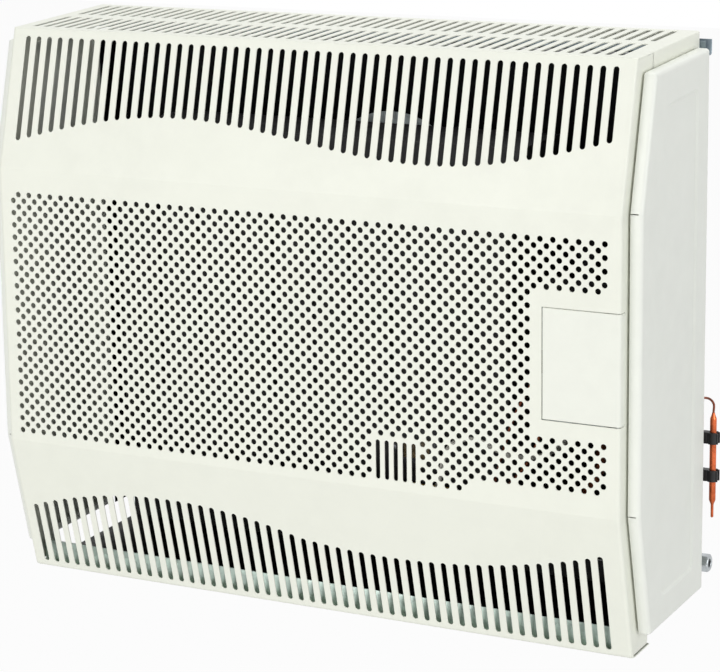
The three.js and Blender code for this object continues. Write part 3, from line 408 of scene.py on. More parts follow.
class Path:
    """An outline in YZ with rounded bends, measured along its length. Its inner side is on its right."""

    def __init__(self, corners, radii, steps=4, guard=0.6):
        corners = [np.array(c, float) for c in corners]
        rows = []  # each is y, z and the inward normal there
        for i, corner in enumerate(corners):
            if i in (0, len(corners) - 1):
                a, b = (corners[0], corners[1]) if i == 0 else (corners[-2], corners[-1])
                d = unit(b - a)
                rows.append((corner, d, d))
                continue
            before, after = unit(corner - corners[i - 1]), unit(corners[i + 1] - corner)
            turn = math.atan2(before[0] * after[1] - before[1] * after[0], before @ after)
            radius = radii[i - 1]
            reach = radius * math.tan(abs(turn) / 2)
            left = np.array([-before[1], before[0]]) * math.copysign(1, turn)
            centre = corner - before * reach + left * radius
            rows.append((corner - before * (reach + guard), before, before))
            for k in range(steps + 1):
                angle = turn * k / steps
                c, sn = math.cos(angle), math.sin(angle)
                spoke = np.array([-left[0] * c + left[1] * sn, -left[0] * sn - left[1] * c])
                d = np.array([before[0] * c - before[1] * sn, before[0] * sn + before[1] * c])
                rows.append((centre + spoke * radius, d, d))
            rows.append((corner + after * (reach + guard), after, after))
        self.points = np.array([r[0] for r in rows])
        way = np.array([r[1] for r in rows])
        self.inward = np.stack([way[:, 1], -way[:, 0]], 1)
        self.s = np.concatenate([[0], np.cumsum(np.linalg.norm(np.diff(self.points, axis=0), axis=1))])
        self.bends = [2 + k * (steps + 3) for k in range(len(radii))]  # index of each bend's first point
        self.steps = steps

    def at(self, s):
        point = np.stack([np.interp(s, self.s, self.points[:, i]) for i in (0, 1)], -1)
        inward = np.stack([np.interp(s, self.s, self.inward[:, i]) for i in (0, 1)], -1)
        return point, inward / np.linalg.norm(inward, axis=-1, keepdims=True)

    def bend(self, k):
        """Where bend k begins and ends."""
        i = self.bends[k]
        return self.s[i], self.s[i + self.steps]

    def height(self, z, low):
        """How far along the path a height lies, after point low of it."""
        return np.interp(z, self.points[low:, 1], self.s[low:])


def sheet_metal(place, xs, ss, loops, thickness=SHEET, lip=0.25):
    """A pierced, folded sheet. xs and ss are fold lines, loops openings; place(x, s, depth) folds it."""
    points, edges, faces, index = [], [], [], {}
    for i, x in enumerate(xs):
        for j, s in enumerate(ss):
            index[i, j] = len(points)
            points.append((x, s))
            if i:
                edges.append((index[i - 1, j], index[i, j]))
            if j:
                edges.append((index[i, j - 1], index[i, j]))
    for loop in loops:
        start = len(points)
        points.extend((float(a), float(b)) for a, b in loop)
        faces.append(list(range(start, len(points))))
    # triangles of the flat sheet without its openings, all wound the same way
    flat, _, tris, _, _, owners = geometry.delaunay_2d_cdt(
        [Vector(p) for p in points], edges, faces, 0, 1e-5, True)
    flat = np.array([tuple(p) for p in flat])
    kept = np.array([t for t, o in zip(tris, owners) if not o])
    a, b, c = (flat[kept[:, k]] for k in range(3))
    area = (b[:, 0] - a[:, 0]) * (c[:, 1] - a[:, 1]) - (b[:, 1] - a[:, 1]) * (c[:, 0] - a[:, 0])
    kept = kept[np.abs(area) > 1e-7]
    area = area[np.abs(area) > 1e-7]
    kept[area < 0] = kept[area < 0][:, ::-1]
    # edges that only one triangle has, and the way from each rim point into the opening
    sides = np.concatenate([kept[:, [0, 1]], kept[:, [1, 2]], kept[:, [2, 0]]])
    size = len(flat)
    code = sides[:, 0].astype(np.int64) * size + sides[:, 1]
    back = sides[:, 1].astype(np.int64) * size + sides[:, 0]
    rim = sides[~np.isin(code, back)]
    way = flat[rim[:, 1]] - flat[rim[:, 0]]
    way /= np.maximum(np.linalg.norm(way, axis=1, keepdims=True), 1e-9)
    void = np.stack([way[:, 1], -way[:, 0]], 1)
    push = np.zeros_like(flat)
    np.add.at(push, rim[:, 0], void)
    np.add.at(push, rim[:, 1], void)
    length = np.linalg.norm(push, axis=1, keepdims=True)
    push = np.where(length > 1e-6, push / np.maximum(length, 1e-6), 0)
    at_rim = np.unique(rim)
    ring = np.full(size, -1)
    ring[at_rim] = np.arange(len(at_rim))
    # the outer face is drawn in at the rim, so that a small chamfer leads to the wall
    eased = flat - push * lip
    front = place(eased[:, 0], eased[:, 1], np.zeros(size))
    step = place(flat[at_rim, 0], flat[at_rim, 1], np.full(len(at_rim), lip))
    rear = place(flat[:, 0], flat[:, 1], np.full(size, thickness))
    n, m = size, len(at_rim)
    walls = []
    for p, q in rim:
        walls.append((q, p, n + ring[p], n + ring[q]))
        walls.append((n + ring[q], n + ring[p], n + m + p, n + m + q))
    verts = np.concatenate([front, step, rear])
    quads = kept.tolist() + (kept[:, ::-1] + n + m).tolist() + [tuple(int(v) for v in w) for w in walls]
    inner = (len(kept), 2 * len(kept))
    used = np.unique(np.concatenate([np.array(f) for f in quads]))
    new = np.full(len(verts), -1)
    new[used] = np.arange(len(used))
    return verts[used], [[int(new[v]) for v in f] for f in quads], inner


def folded(path, left, right, turn_left, turn_right, squash=None):
    """Folds a sheet along a path and round its upright edges, as far as squash(s) lets it turn."""
    def place(x, s, depth):
        point, inward = path.at(s)
        on_right = x > (left + right) / 2
        radius = np.where(on_right, turn_right, turn_left)
        limit = np.where(on_right, right - radius, left + radius)
        sign = np.where(on_right, 1.0, -1.0)
        past = np.maximum((x - limit) * sign, 0)
        angle = np.minimum(past / radius, np.pi / 2)
        back = np.maximum(past - radius * np.pi / 2, 0)
        held = squash(s) if squash is not None else np.ones_like(s)
        across = np.where(past > 0, limit + sign * radius * np.sin(angle), x)
        across = across - sign * depth * np.sin(angle) * held
        reach = depth * (np.cos(angle) * held + 1 - held)
        y = point[:, 0] + reach * inward[:, 0] + radius * (1 - np.cos(angle)) + back
        z = point[:, 1] + reach * inward[:, 1]
        return np.stack([across, y, z], 1)
    return place


def flat_between(low, high):
    """1 between the two end bends of a path, falling to 0 across them."""
    return lambda s: np.interp(s, [*low, *high], [0, 1, 1, 0])


def edge_lines(limit, radius, back, sign=1, guard=0.6):
    """Fold lines of an upright edge, from the flat of the sheet outwards."""
    arc = radius * math.pi / 2
    outwards = [-guard, *[arc * k / 4 for k in range(5)], arc + guard, arc + back]
    return [limit + sign * v for v in outwards]


def circle(x, s, radius, sides=12):
    turn = np.arange(sides) * 2 * np.pi / sides + np.pi / sides
    return np.stack([x + radius * np.cos(turn), s + radius * np.sin(turn)], 1)


def round_slot(x, s0, s1, width):
    """A slot along s with round ends."""
    r = width / 2
    turn = np.linspace(0, np.pi, 7)
    high = np.stack([x + r * np.cos(turn), s1 - r + r * np.sin(turn)], 1)
    low = np.stack([x - r * np.cos(turn), s0 + r - r * np.sin(turn)], 1)
    return np.concatenate([high, low])


def rectangle(x0, x1, s0, s1):
    return np.array([(x0, s0), (x1, s0), (x1, s1), (x0, s1)])


def slot_x(k):
    return (k - SLOTS // 2) * PITCH


# Casing front

front_path = Path(
    [(LOW_FRONT + SILL, BOTTOM), (LOW_FRONT, BOTTOM), (FRONT, LOWER_BEND), (FRONT, UPPER_BEND),
     (TOP_FRONT, TOP), (TOP_FRONT + 1.3, TOP)],
    [4.5, 4.0, 4.0, 1.6], guard=0.05)


def up(z):
    """How far along the front's path a height lies."""
    return float(front_path.height(z, front_path.bends[0]))


def column_x(u):
    return (u - (COLUMNS - 1) / 2) * PITCH / 2


def row_z(v):
    return UPPER_BEND - 27 - v * PITCH / 2


def wave_height(x):
    """How far above the upper bend an upper slot begins."""
    return 46.7 + 0.0592 * x + 23 * math.cos(2 * math.pi * (x + 165.4) / 661.5)


def arc_depth(x):
    """How far below the lower bend a lower slot ends: two arcs that meet."""
    at, depth, bend = (-158.6, 47, 0.000994) if x < -5 else (96, 76.9, -0.000686)
    return depth + bend * (x - at) ** 2


def perforated(u, v):
    beside_door = 8 <= v <= 29 and u >= 90
    in_peep = v >= 33 and 64 <= u <= 71
    in_bare_corner = v >= 38 and u >= 80
    return (u + v) % 2 == 1 and not (beside_door or in_peep or in_bare_corner)


def front_openings():
    loops = []
    for k in range(SLOTS):
        x = slot_x(k)
        low_x = x - 4
        loops.append(round_slot(x, up(UPPER_BEND + wave_height(x)), up(TOP - 7.8), SLOT_WIDTH))
        loops.append(round_slot(low_x, up(BOTTOM + 6.8), up(LOWER_BEND - arc_depth(low_x)), SLOT_WIDTH))
    for v in range(ROWS):
        for u in range(COLUMNS):
            if perforated(u, v):
                loops.append(circle(column_x(u), up(row_z(v)), HOLE_RADIUS))
    for u in PEEP_COLUMNS:
        loops.append(round_slot(column_x(u), up(row_z(39.3)), up(row_z(33.1)), PEEP_WIDTH))
    return loops


def casing_front():
    low_bend, top_bend = front_path.bend(0), front_path.bend(3)
    loops = front_openings()
    arc_end = HALF - CORNER + CORNER * math.pi / 2
    end = arc_end + RETURN - CORNER
    high, far = top_bend[0] - 0.3, front_path.s[-1] + 1
    for sign in (-1, 1):
        a, b = sorted((sign * arc_end, sign * (end + 1)))
        loops.append(rectangle(a, b, -1, low_bend[1]))
        near, out = sorted((a, b), key=abs)
        loops.append([(near, high), (out, high + 1.9), (out, far), (near, far)][::sign])
    loops.append(rectangle(DOOR_LEFT, arc_end + 10.4 - CORNER, up(DOOR_LOW), up(DOOR_HIGH)))
    right = edge_lines(HALF - CORNER, CORNER, RETURN - CORNER)
    xs = sorted([-x for x in right] + right)
    place = folded(front_path, -HALF, HALF, CORNER, CORNER, flat_between(low_bend, top_bend))
    points, faces, inner = sheet_metal(place, xs, list(front_path.s), loops)
    piece("front_casing", (points, faces), CREAM, "cream_paint", "casing_front", inner=(INSIDE_SHADE, *inner))


casing_front()

# Casing top


def casing_top():
    turn, rear_turn = 1.4, 2.0
    fade = 12.0  # how far back the front edge follows the casing's corners
    start = TOP_FRONT + 1.55
    climb = lambda y: TOP + (y - TOP_FRONT) / TOP_DEPTH * TOP_RISE
    rear = climb(TOP_BACK)
    path = Path([(start, climb(start)), (TOP_BACK, rear), (TOP_BACK, rear - REAR_FLANGE)], [rear_turn])
    along = lambda y: (y - start) * math.hypot(1, TOP_RISE / TOP_DEPTH)
    arc_end = HALF - turn + turn * math.pi / 2
    end = arc_end + CHEEK - turn
    bend = path.bend(0)

    def place(x, s, depth):
        across = np.abs(x)
        inside = np.clip((across - (HALF - CORNER)) / CORNER, 0, 1)
        s = s + CORNER * (1 - np.sqrt(1 - inside ** 2)) * np.clip(1 - s / fade, 0, 1)
        point, inward = path.at(s)
        past = np.maximum(across - (HALF - turn), 0)
        angle = np.minimum(past / turn, np.pi / 2)
        down = np.maximum(past - turn * np.pi / 2, 0)
        x_out = np.where(past > 0, HALF - turn + turn * np.sin(angle), across)
        x_out = x_out - depth * np.sin(angle)
        y = point[:, 0] + depth * inward[:, 0] * np.cos(angle)
        z = point[:, 1] + depth * inward[:, 1] * np.cos(angle) - turn * (1 - np.cos(angle)) - down
        return np.stack([np.sign(x) * x_out, y, z], 1)

    right = edge_lines(HALF - turn, turn, CHEEK - turn, guard=0.2)
    right += [HALF - CORNER, HALF - 2.9, HALF - 2.3]
    xs = sorted({round(v, 5) for x in right for v in (x, -x)})
    ss = sorted([*path.s, fade, 4.0])
    loops = []
    for sign in (-1, 1):
        a, b = sorted((sign * arc_end, sign * (end + 1)))
        loops.append(rectangle(a, b, -1, along(TOP_FRONT + RETURN + 0.3)))
        a, b = sorted((sign * (HALF - turn), sign * (end + 1)))
        loops.append(rectangle(a, b, bend[0], path.s[-1] + 1))
    for y0, y1 in ((12.5, 82), (98.5, 164)):
        ends = along(TOP_FRONT + y0), along(TOP_FRONT + y1)
        loops += [round_slot(slot_x(k) - 2.5, *ends, SLOT_WIDTH) for k in range(SLOTS)]
    points, faces, inner = sheet_metal(place, xs, ss, loops)
    piece("top_casing", (points, faces), CREAM, "cream_paint", "casing_top", inner=(INSIDE_SHADE, *inner))


casing_top()

# Side covers

COVER_IN, COVER_OUT, SET_BACK = HALF + 2.2, HALF + 15.2, 15
COVER_TOP, COVER_LOW, COVER_BACK = TOP - 14.5, BOTTOM + 23.5, FRONT + 198
FRONT_LINE = [(TOP_FRONT, TOP), (FRONT, UPPER_BEND), (FRONT, LOWER_BEND), (LOW_FRONT, BOTTOM)]
RIDGE = 4.2  # radius of the cover's front and side edges
PANEL_MARGINS, PANEL_SLOPE, PANEL_DROP = (34, 31, 33, 29), 4, 2.3
COVER_SMOOTH = 35


def offset_line(points, distance):
    points = [np.array(p, float) for p in points]
    normals = [unit(np.array([a[1] - b[1], b[0] - a[0]])) for a, b in zip(points, points[1:])]
    moved = []
    for i, p in enumerate(points):
        before, after = normals[max(i - 1, 0)], normals[min(i, len(normals) - 1)]
        mitre = unit(before + after)
        moved.append(p + mitre * distance / (mitre @ after))
    return moved


def cover_outline(margins, radii, steps=5):
    """The cover's rounded outline in (y, z), drawn in by its front, rear, top and bottom margins."""
    front, rear, top, low = margins
    high, bottom = COVER_TOP - top, COVER_LOW + low
    line = np.array(offset_line(FRONT_LINE, front)) + (SET_BACK, 0)
    at = lambda z, a, b: a[0] + (z - a[1]) / (b[1] - a[1]) * (b[0] - a[0])
    back = COVER_BACK - rear
    climb = (back - TOP_FRONT) / TOP_DEPTH * TOP_RISE
    first = np.array([at(high, line[0], line[1]), high])
    corners = [first, line[1], line[2], np.array([at(bottom, line[2], line[3]), bottom]),
               np.array([back, bottom]), np.array([back, high + climb])]
    points = []
    for i, corner in enumerate(corners):
        before, after = unit(corner - corners[i - 1]), unit(corners[(i + 1) % 6] - corner)
        turn = math.acos(max(-1, min(1, before @ after)))
        reach = radii[i] * math.tan(turn / 2)
        a, b = corner - before * reach, corner + after * reach
        inward = np.array([-before[1], before[0]])
        if inward @ after < 0:
            inward = -inward
        centre = a + inward * radii[i]
        for k in range(steps + 1):
            t = turn * k / steps
            points.append(centre - inward * radii[i] * math.cos(t) + before * radii[i] * math.sin(t))
    return points


def cover_rings():
    """Rings of the pressed cover, from the middle of its inside over the lip to its outer face."""
    bends = [3.0, 5.0, 5.0, 3.0, 3.0, 3.0]
    pressed = [16.0, 14.0, 14.0, 16.0, 9.0, 9.0]

    def even(m, x):
        """A ring drawn in by the same margin all round."""
        return [(x, *p) for p in cover_outline([m] * 4, [max(r - m, 0.4) for r in bends])]

    def panel(extra, x):
        """A ring along the slope of the pressed panel."""
        margins = [m + extra for m in PANEL_MARGINS]
        return [(x, *p) for p in cover_outline(margins, [max(r - extra, 1.0) for r in pressed])]

    near = HALF + 0.5
    outer = [even(9.4, near), even(7.4, near), even(7, near + 0.4), even(7, COVER_IN - 0.3),
             even(6.7, COVER_IN), even(1.0, COVER_IN), even(0.3, COVER_IN + 0.3), even(0, COVER_IN + 1.0)]
    for k in range(7):
        t = math.pi / 2 * k / 6
        outer.append(even(RIDGE * (1 - math.cos(t)), COVER_OUT - RIDGE + RIDGE * math.sin(t)))
    outer.append(even(RIDGE + 0.8, COVER_OUT))
    for t in (-0.08, 0.0, 0.12, 0.3, 0.5, 0.7, 0.88, 1.0, 1.08):
        u = min(max(t, 0), 1)
        outer.append(panel(PANEL_SLOPE * t, COVER_OUT - PANEL_DROP * u * u * (3 - 2 * u)))
    inner = [even(9.4, near + SHEET), even(8.2, near + SHEET), even(8.2, COVER_IN + SHEET),
             even(2.2, COVER_IN + SHEET), even(SHEET, COVER_IN + 2.4)]
    for k in range(4):
        t = math.pi / 2 * k / 3
        inner.append(even(SHEET + (RIDGE - SHEET) * (1 - math.cos(t)),
                          COVER_OUT - RIDGE + (RIDGE - SHEET) * math.sin(t)))
    inner.append(panel(-1.0, COVER_OUT - SHEET))
    inner.append(panel(PANEL_SLOPE, COVER_OUT - SHEET - PANEL_DROP))
    return inner[::-1] + outer


def skin(rings):
    """A closed shape over rings of points, with a cap on the first and on the last."""
    n, last = len(rings[0]), (len(rings) - 1) * len(rings[0])
    faces = [tuple(range(n))[::-1], tuple(range(last, last + n))]
    for a in range(0, last, n):
        faces += [(a + k, a + (k + 1) % n, a + n + (k + 1) % n, a + n + k) for k in range(n)]
    return [p for ring in rings for p in ring], faces


def box(x, y, z, ease=0.3, steps=2):
    """A box with eased edges."""
    bm = bmesh.new()
    size = [b - a for a, b in (x, y, z)]
    middle = [(a + b) / 2 for a, b in (x, y, z)]
    bmesh.ops.create_cube(bm, size=1, matrix=Matrix.Translation(middle) @ Matrix.Diagonal((*size, 1)))
    if ease:
        bmesh.ops.bevel(bm, geom=bm.edges[:], offset=ease, segments=steps, profile=0.5, affect="EDGES")
    bm.verts.index_update()
    points = [tuple(v.co) for v in bm.verts]
    faces = [[v.index for v in f.verts] for f in bm.faces]
    bm.free()
    return points, faces


def gather(*shapes):
    """Several closed shapes as one mesh."""
    points, faces = [], []
    for more_points, more_faces in shapes:
        start = len(points)
        points.extend(tuple(p) for p in more_points)
        faces.extend([start + i for i in f] for f in more_faces)
    return points, faces


def cut(made, cutters, smooth=32):
    """Cuts closed shapes out of a piece for good."""
    for shape in cutters:
        cutter = add("cutter", mesh_of("cutter", *shape))
        modifier = made.modifiers.new("cut", "BOOLEAN")
        modifier.object = cutter
        modifier.operation = "DIFFERENCE"
        modifier.solver = "EXACT"
        modifier.use_self = True
        result = applied(made)
        made.modifiers.clear()
        made.data = result
        bpy.data.objects.remove(cutter)
    shade(made.data, smooth)


def side_cover(side, hand):
    seat = box((339.6, COVER_OUT - SHEET), (COVER_BACK - SHEET, COVER_BACK), (COVER_LOW + 9, 262), 0.25)
    points, faces = gather(skin(cover_rings()), seat)
    if side < 0:
        points = [(-x, y, z) for x, y, z in points]
        faces = [f[::-1] for f in faces]
    made = piece("cover_" + hand, (points, faces), COVER_CREAM, "cream_paint", "side_cover_" + hand,
                 smooth=COVER_SMOOTH)
    cutters = []
    if side > 0:  # a notch for the thermostat's thin tube
        cutters.append(box((338, COVER_OUT - 2.4), (COVER_BACK - 10.2, COVER_BACK + 3), (-75, -61), 3.0, 4))
    for z in (UPPER_BEND, LOWER_BEND):
        x = sorted((side * (HALF - 1), side * (COVER_OUT - 4.6)))
        cutters.append(box(x, (FRONT + SET_BACK - 2, FRONT + SET_BACK + 6), (z - 0.55, z + 0.55), 0))
    cut(made, cutters, COVER_SMOOTH)


side_cover(-1, "left")
side_cover(1, "right")

# Control door


def control_door():
    gap, turn, reach = 0.7, DOOR_TURN, 8
    left, right = DOOR_LEFT + gap, HALF
    low, high = DOOR_LOW + gap, DOOR_HIGH - gap
    edge = FRONT + reach
    path = Path([(edge, low), (FRONT, low), (FRONT, high), (edge, high)], [turn, turn], guard=0.3)
    right_end = right - CORNER + CORNER * math.pi / 2
    left_end = left + turn - turn * math.pi / 2
    right_lines = edge_lines(right - CORNER, CORNER, 9.4 - CORNER)
    left_lines = edge_lines(left + turn, turn, reach - turn, -1, guard=0.3)
    xs = sorted(right_lines + left_lines)
    low_bend, high_bend = path.bend(0), path.bend(1)
    loops = []
    for a, b in ((right_end, max(xs) + 1), (min(xs) - 1, left_end)):
        loops.append(rectangle(a, b, -1, low_bend[1]))
        loops.append(rectangle(a, b, high_bend[0], path.s[-1] + 1))
    for s in (4.5, path.s[-1] - 4.5):
        loops.append(circle(right - 3.5, s, 1.4))
    place = folded(path, left, right, turn, CORNER, flat_between(low_bend, high_bend))
    points, faces, _ = sheet_metal(place, xs, list(path.s), loops)
    piece("door", (points, faces), DOOR_CREAM, "cream_paint", "control_door", body="door")


control_door()

# Turned, bent and eased pieces


def turned(axis, centre, profile, sides=48, flutes=None):
    """A solid of revolution from a loop of (radius, distance). flutes draws some radii in round the turn."""
    a, b = centre
    points, rows = [], []
    for r, t in profile:
        if r == 0:
            rows.append([len(points)] * sides)
            ring = [(0.0, 0.0)]
        else:
            rows.append(list(range(len(points), len(points) + sides)))
            ring = []
            for k in range(sides):
                angle = 2 * math.pi * k / sides
                out = r - (flutes(r, t, angle) if flutes else 0)
                ring.append((out * math.cos(angle), out * math.sin(angle)))
        for u, v in ring:
            points.append({"x": (t, a + u, b + v), "y": (a + u, t, b + v), "z": (a + u, b + v, t)}[axis])
    faces = []
    for i in range(len(rows)):
        one, two = rows[i], rows[(i + 1) % len(rows)]
        for k in range(sides):
            n = (k + 1) % sides
            face = list(dict.fromkeys((one[k], one[n], two[n], two[k])))
            if len(face) > 2:
                faces.append(face)
    return points, faces


def bent_tube(points, radius, sides=14, parts=10):
    """A round tube along a smooth curve through the points."""
    points = [np.array(p, float) for p in points]
    ends = [2 * points[0] - points[1], *points, 2 * points[-1] - points[-2]]
    line = []
    for i in range(len(points) - 1):
        p0, p1, p2, p3 = ends[i:i + 4]
        for k in range(parts):
            t = k / parts
            line.append(0.5 * (2 * p1 + (p2 - p0) * t + (2 * p0 - 5 * p1 + 4 * p2 - p3) * t ** 2
                               + (3 * p1 - p0 - 3 * p2 + p3) * t ** 3))
    line.append(points[-1])
    line = np.array(line)
    way = np.gradient(line, axis=0)
    way[0], way[-1] = points[1] - points[0], points[-1] - points[-2]
    way /= np.linalg.norm(way, axis=1, keepdims=True)
    side = np.cross(way[0], (0.3, 0.2, 0.9))
    turns = [2 * math.pi * k / sides for k in range(sides)]
    rings = []
    for p, d in zip(line, way):
        side = unit(side - (side @ d) * d)
        other = np.cross(d, side)
        rings.append([p + radius * (side * math.cos(a) + other * math.sin(a)) for a in turns])
    return skin(rings)


def eased(node, material, slot, width):
    """A copy of a solid with its edges rounded, standing for it."""
    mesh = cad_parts[node].data.copy()
    shape = bmesh.new()
    shape.from_mesh(mesh)
    bmesh.ops.remove_doubles(shape, verts=shape.verts[:], dist=1e-6)
    bmesh.ops.dissolve_limit(shape, angle_limit=math.radians(1), verts=shape.verts[:], edges=shape.edges[:])
    sharp = [e for e in shape.edges if len(e.link_faces) == 2 and e.calc_face_angle(0) > math.radians(32)]
    bmesh.ops.bevel(shape, geom=sharp, offset=width * MM, segments=2, profile=0.5, affect="EDGES",
                    clamp_overlap=True)
    shape.to_mesh(mesh)
    shape.free()
    dress("eased_" + node, mesh, [material], slot, node)


EASED = [
    ("door_catch", BLACK, "black_plastic", 0.8),
    ("door_hinge_upper", STEEL, "steel", 0.25),
    ("door_hinge_lower", STEEL, "steel", 0.25),
    ("back_frame", BACK_ZINC, "galvanised", 0.3),
    ("base_tray", TRAY_ZINC, "galvanised", 0.3),
    ("combustion_chamber", ENAMEL, "black_enamel", 1.2),
    ("burner_housing", ZINC_DARK, "galvanised", 0.5),
    ("burner_tube", STEEL, "steel", 0.3),
    ("chamber_bracket_left", ZINC_DARK, "galvanised", 0.4),
    ("chamber_bracket_right", ZINC_DARK, "galvanised", 0.4),
    ("burner_shelf", ZINC_DARK, "galvanised", 0.4),
    ("sight_glass", GLASS, "sight_glass", 0.4),
    ("sight_glass_frame", STEEL_DARK, "steel", 0.5),
    ("control_panel", PANEL_ZINC, "galvanised", 0.4),
    ("gas_valve", CAST, "aluminium", 1.3),
    ("valve_bracket", ZINC_DARK, "galvanised", 0.4),
    ("pilot_burner", BRASS, "brass", 0.3),
    ("thermocouple", COPPER, "copper", 0.3),
    ("ignition_electrode", CERAMIC, "ceramic", 0.3),
]
for node, finish, slot, width in EASED:
    eased(node, finish, slot, width)

# Wall rail, ducts and seal
FLUE = (0.0, 108.0)
rail = Path([(0, 288.7), (0, 273.3), (-18.7, 273.3), (-18.7, 288.7)], [3.2, 3.2])


def wall_rail():
    """The U-shaped rail, with slots in its rear flange and round holes in its web."""
    foot = float(rail.s[rail.bends[1] - 2])
    loops = []
    for x in (-300, -180, -60, 60, 180, 300):
        across = round_slot(5.6, x - 9, x + 9, 6.5)
        loops.append(across[:, ::-1][::-1])
        loops.append(circle(x + 40, foot - 6, 3.2, 16))
    place = folded(rail, -RAIL_HALF, RAIL_HALF, 1e-4, 1e-4)
    xs = [-RAIL_HALF, -120, 120, RAIL_HALF]
    points, faces, _ = sheet_metal(place, xs, list(rail.s), loops, 2.0, 0.3)
    piece("wall_rail", (points, faces), RAIL, "galvanised", "wall_bracket")


wall_rail()
piece("air_spigot", turned("y", FLUE, [
    (73.5, -2.7), (88.6, -2.7), (89, -2.3), (89, -1.9), (88.6, -1.5), (76, -1.5), (75, -0.5), (75, 12),
    (74.4, 13), (74.4, 15), (75, 16), (75, 21.6), (74.6, 22), (73.9, 22), (73.5, 21.6)], 96),
    ZINC, "galvanised", "air_duct")
piece("flue_collar_seal", turned("y", FLUE, [
    (50.8, -45.7), (57.2, -45.7), (58, -44.9), (58, -43.5), (57.2, -42.7), (50.8, -42.7), (50, -43.5),
    (50, -44.9)], 96), SEALANT, "sealant", "flue_seal")
piece("flue_spigot", turned("y", FLUE, [
    (48.5, -42.4), (61.6, -42.4), (62, -42), (62, -41.6), (61.6, -41.2), (51.5, -41.2), (50, -39.7),
    (50, 18), (49.5, 19), (49.5, 21), (50, 22), (50, 29.6), (49.7, 30), (48.8, 30), (48.5, 29.6)], 96),
    FOIL, "aluminium", "flue_duct")

# Gas control: spindle, knob, button and igniter
KNOB, BUTTON = (302.0, 16.0), (302.0, -40.0)
piece("spindle", turned("y", KNOB, [
    (0, -198.5), (3.4, -198.5), (4, -197.9), (4, -171.6), (6.6, -171.3), (7, -170.9), (7, -167.7),
    (6.6, -167.3), (4, -167.3), (4, -150), (0, -150)], 40), BRASS, "brass", "valve_spindle", body="spindle")


def grip(r, t, angle):
    """Twelve finger flutes round the knob's barrel."""
    if r < 21 or r > 23 or t > -187:
        return 0.0
    return 1.5 * (0.5 - 0.5 * math.cos(12 * angle)) ** 2


piece("knob", turned("y", KNOB, [
    (0, -204.5), (4.08, -204.5), (4.08, -182.5), (24.5, -182.5), (25, -183), (25, -185.4), (24.4, -186.2),
    (22.9, -186.7), (22.4, -187.4), (22.2, -190), (22.0, -205.2), (21.5, -207), (20.2, -208.2),
    (18.6, -208.5), (17.2, -208.3), (16.2, -207.7), (0, -207.7)], 144, grip),
    BLACK, "black_plastic", "control_knob", body="knob")
piece("knob_pointer", box((301, 303), (-208.4, -207.2), (20, 31.5), 0.35, 3),
      MARK, "black_plastic", body="knob")
piece("button", turned("y", BUTTON, [
    (0, -187.5), (3.2, -187.4), (4.9, -186.9), (5.8, -185.9), (6, -184.8), (6, -174.7), (7.2, -174.7),
    (7.2, -173.2), (6, -173.2), (6, -168.7), (0, -168.7)], 40),
    RED, "red_plastic", "piezo_button", body="igniter_button")
piece("igniter", turned("y", BUTTON, [
    (7.5, -174.7), (8.7, -174.7), (9, -174.3), (9, -160), (8.5, -159.6), (8.5, -158.6), (9, -158.2),
    (9, -142.4), (8.2, -140.7), (0, -140.7), (0, -162.4), (7.5, -162.4)], 40),
    BLACK, "black_plastic", "piezo_igniter")


def dial_numbers(count=8, sweep=270, radius=29.6, size=5.4, height=0.05, face=-176.56):
    """Generic numbers round the knob, printed on the panel."""
    for k in range(count):
        angle = math.radians(90 - k * sweep / (count - 1))
        words = bpy.data.curves.new("number", "FONT")
        words.body = str(k)
        words.size = size * MM
        words.extrude = height * MM
        words.align_x, words.align_y = "CENTER", "CENTER"
        holder = add("number", words)
        mesh = applied(holder)
        bpy.data.objects.remove(holder)
        spot = Vector((KNOB[0] + radius * math.cos(angle), face, KNOB[1] + radius * math.sin(angle)))
        mesh.transform(Matrix.Translation(spot * MM) @ Matrix.Rotation(math.pi / 2, 4, "X"))
        dress("dial_number_%d" % k, mesh, [BLACK], "black_plastic")


dial_numbers()

# Gas union
NUT_RADIUS, BORE = 9.5, 4.5
NUT_FLAT = NUT_RADIUS * math.cos(math.pi / 6)
INLET = (-14.0, -248.0)


def hexagon(r, t, angle):
    """What the nut's six flats take off its turned radius."""
    return max(0, r - NUT_FLAT / math.cos(angle % (math.pi / 3) - math.pi / 6))


piece("inlet_nut", turned("x", INLET, [
    (BORE + 0.5, 346.5), (NUT_FLAT - 0.3, 346.5), (NUT_FLAT + 0.5, 347), (NUT_RADIUS, 347.6),
    (NUT_RADIUS, 360.4), (NUT_FLAT + 0.5, 361), (NUT_FLAT - 0.3, 361.5), (BORE + 0.5, 361.5), (BORE, 361),
    (BORE, 347)], 72, hexagon), NUT, "galvanised", "gas_inlet_nut", smooth=24)
piece("inlet_elbow", gather(
    turned("x", INLET, [
        (0, 322), (5.9, 322), (6.25, 322.15), (6.4, 322.5), (6.4, 345.7), (6.25, 346.05), (5.9, 346.2),
        (0, 346.2)], 40),
    turned("z", (322.0, INLET[0]), [
        (0, -255), (6.2, -255), (7, -254.2), (7, -231.5), (6.5, -231), (6.5, -230), (7, -229.5),
        (7, -226.6), (6.4, -226), (0, -226)], 40)), BRASS, "brass", "gas_inlet_elbow")

# Pipes and leads
VALVE_Y, PORT_Z = -137.0, -30.3
PILOT = np.array((110.5, -165.3, -173.3))
PIPE, THIN_PIPE, SENSOR_LEAD, SPARK_LEAD = 6, 2.2, 1.6, 2.4  # radii


def by_pilot(*steps):
    """Points given from the middle of the pilot burner."""
    return [PILOT + step for step in steps]


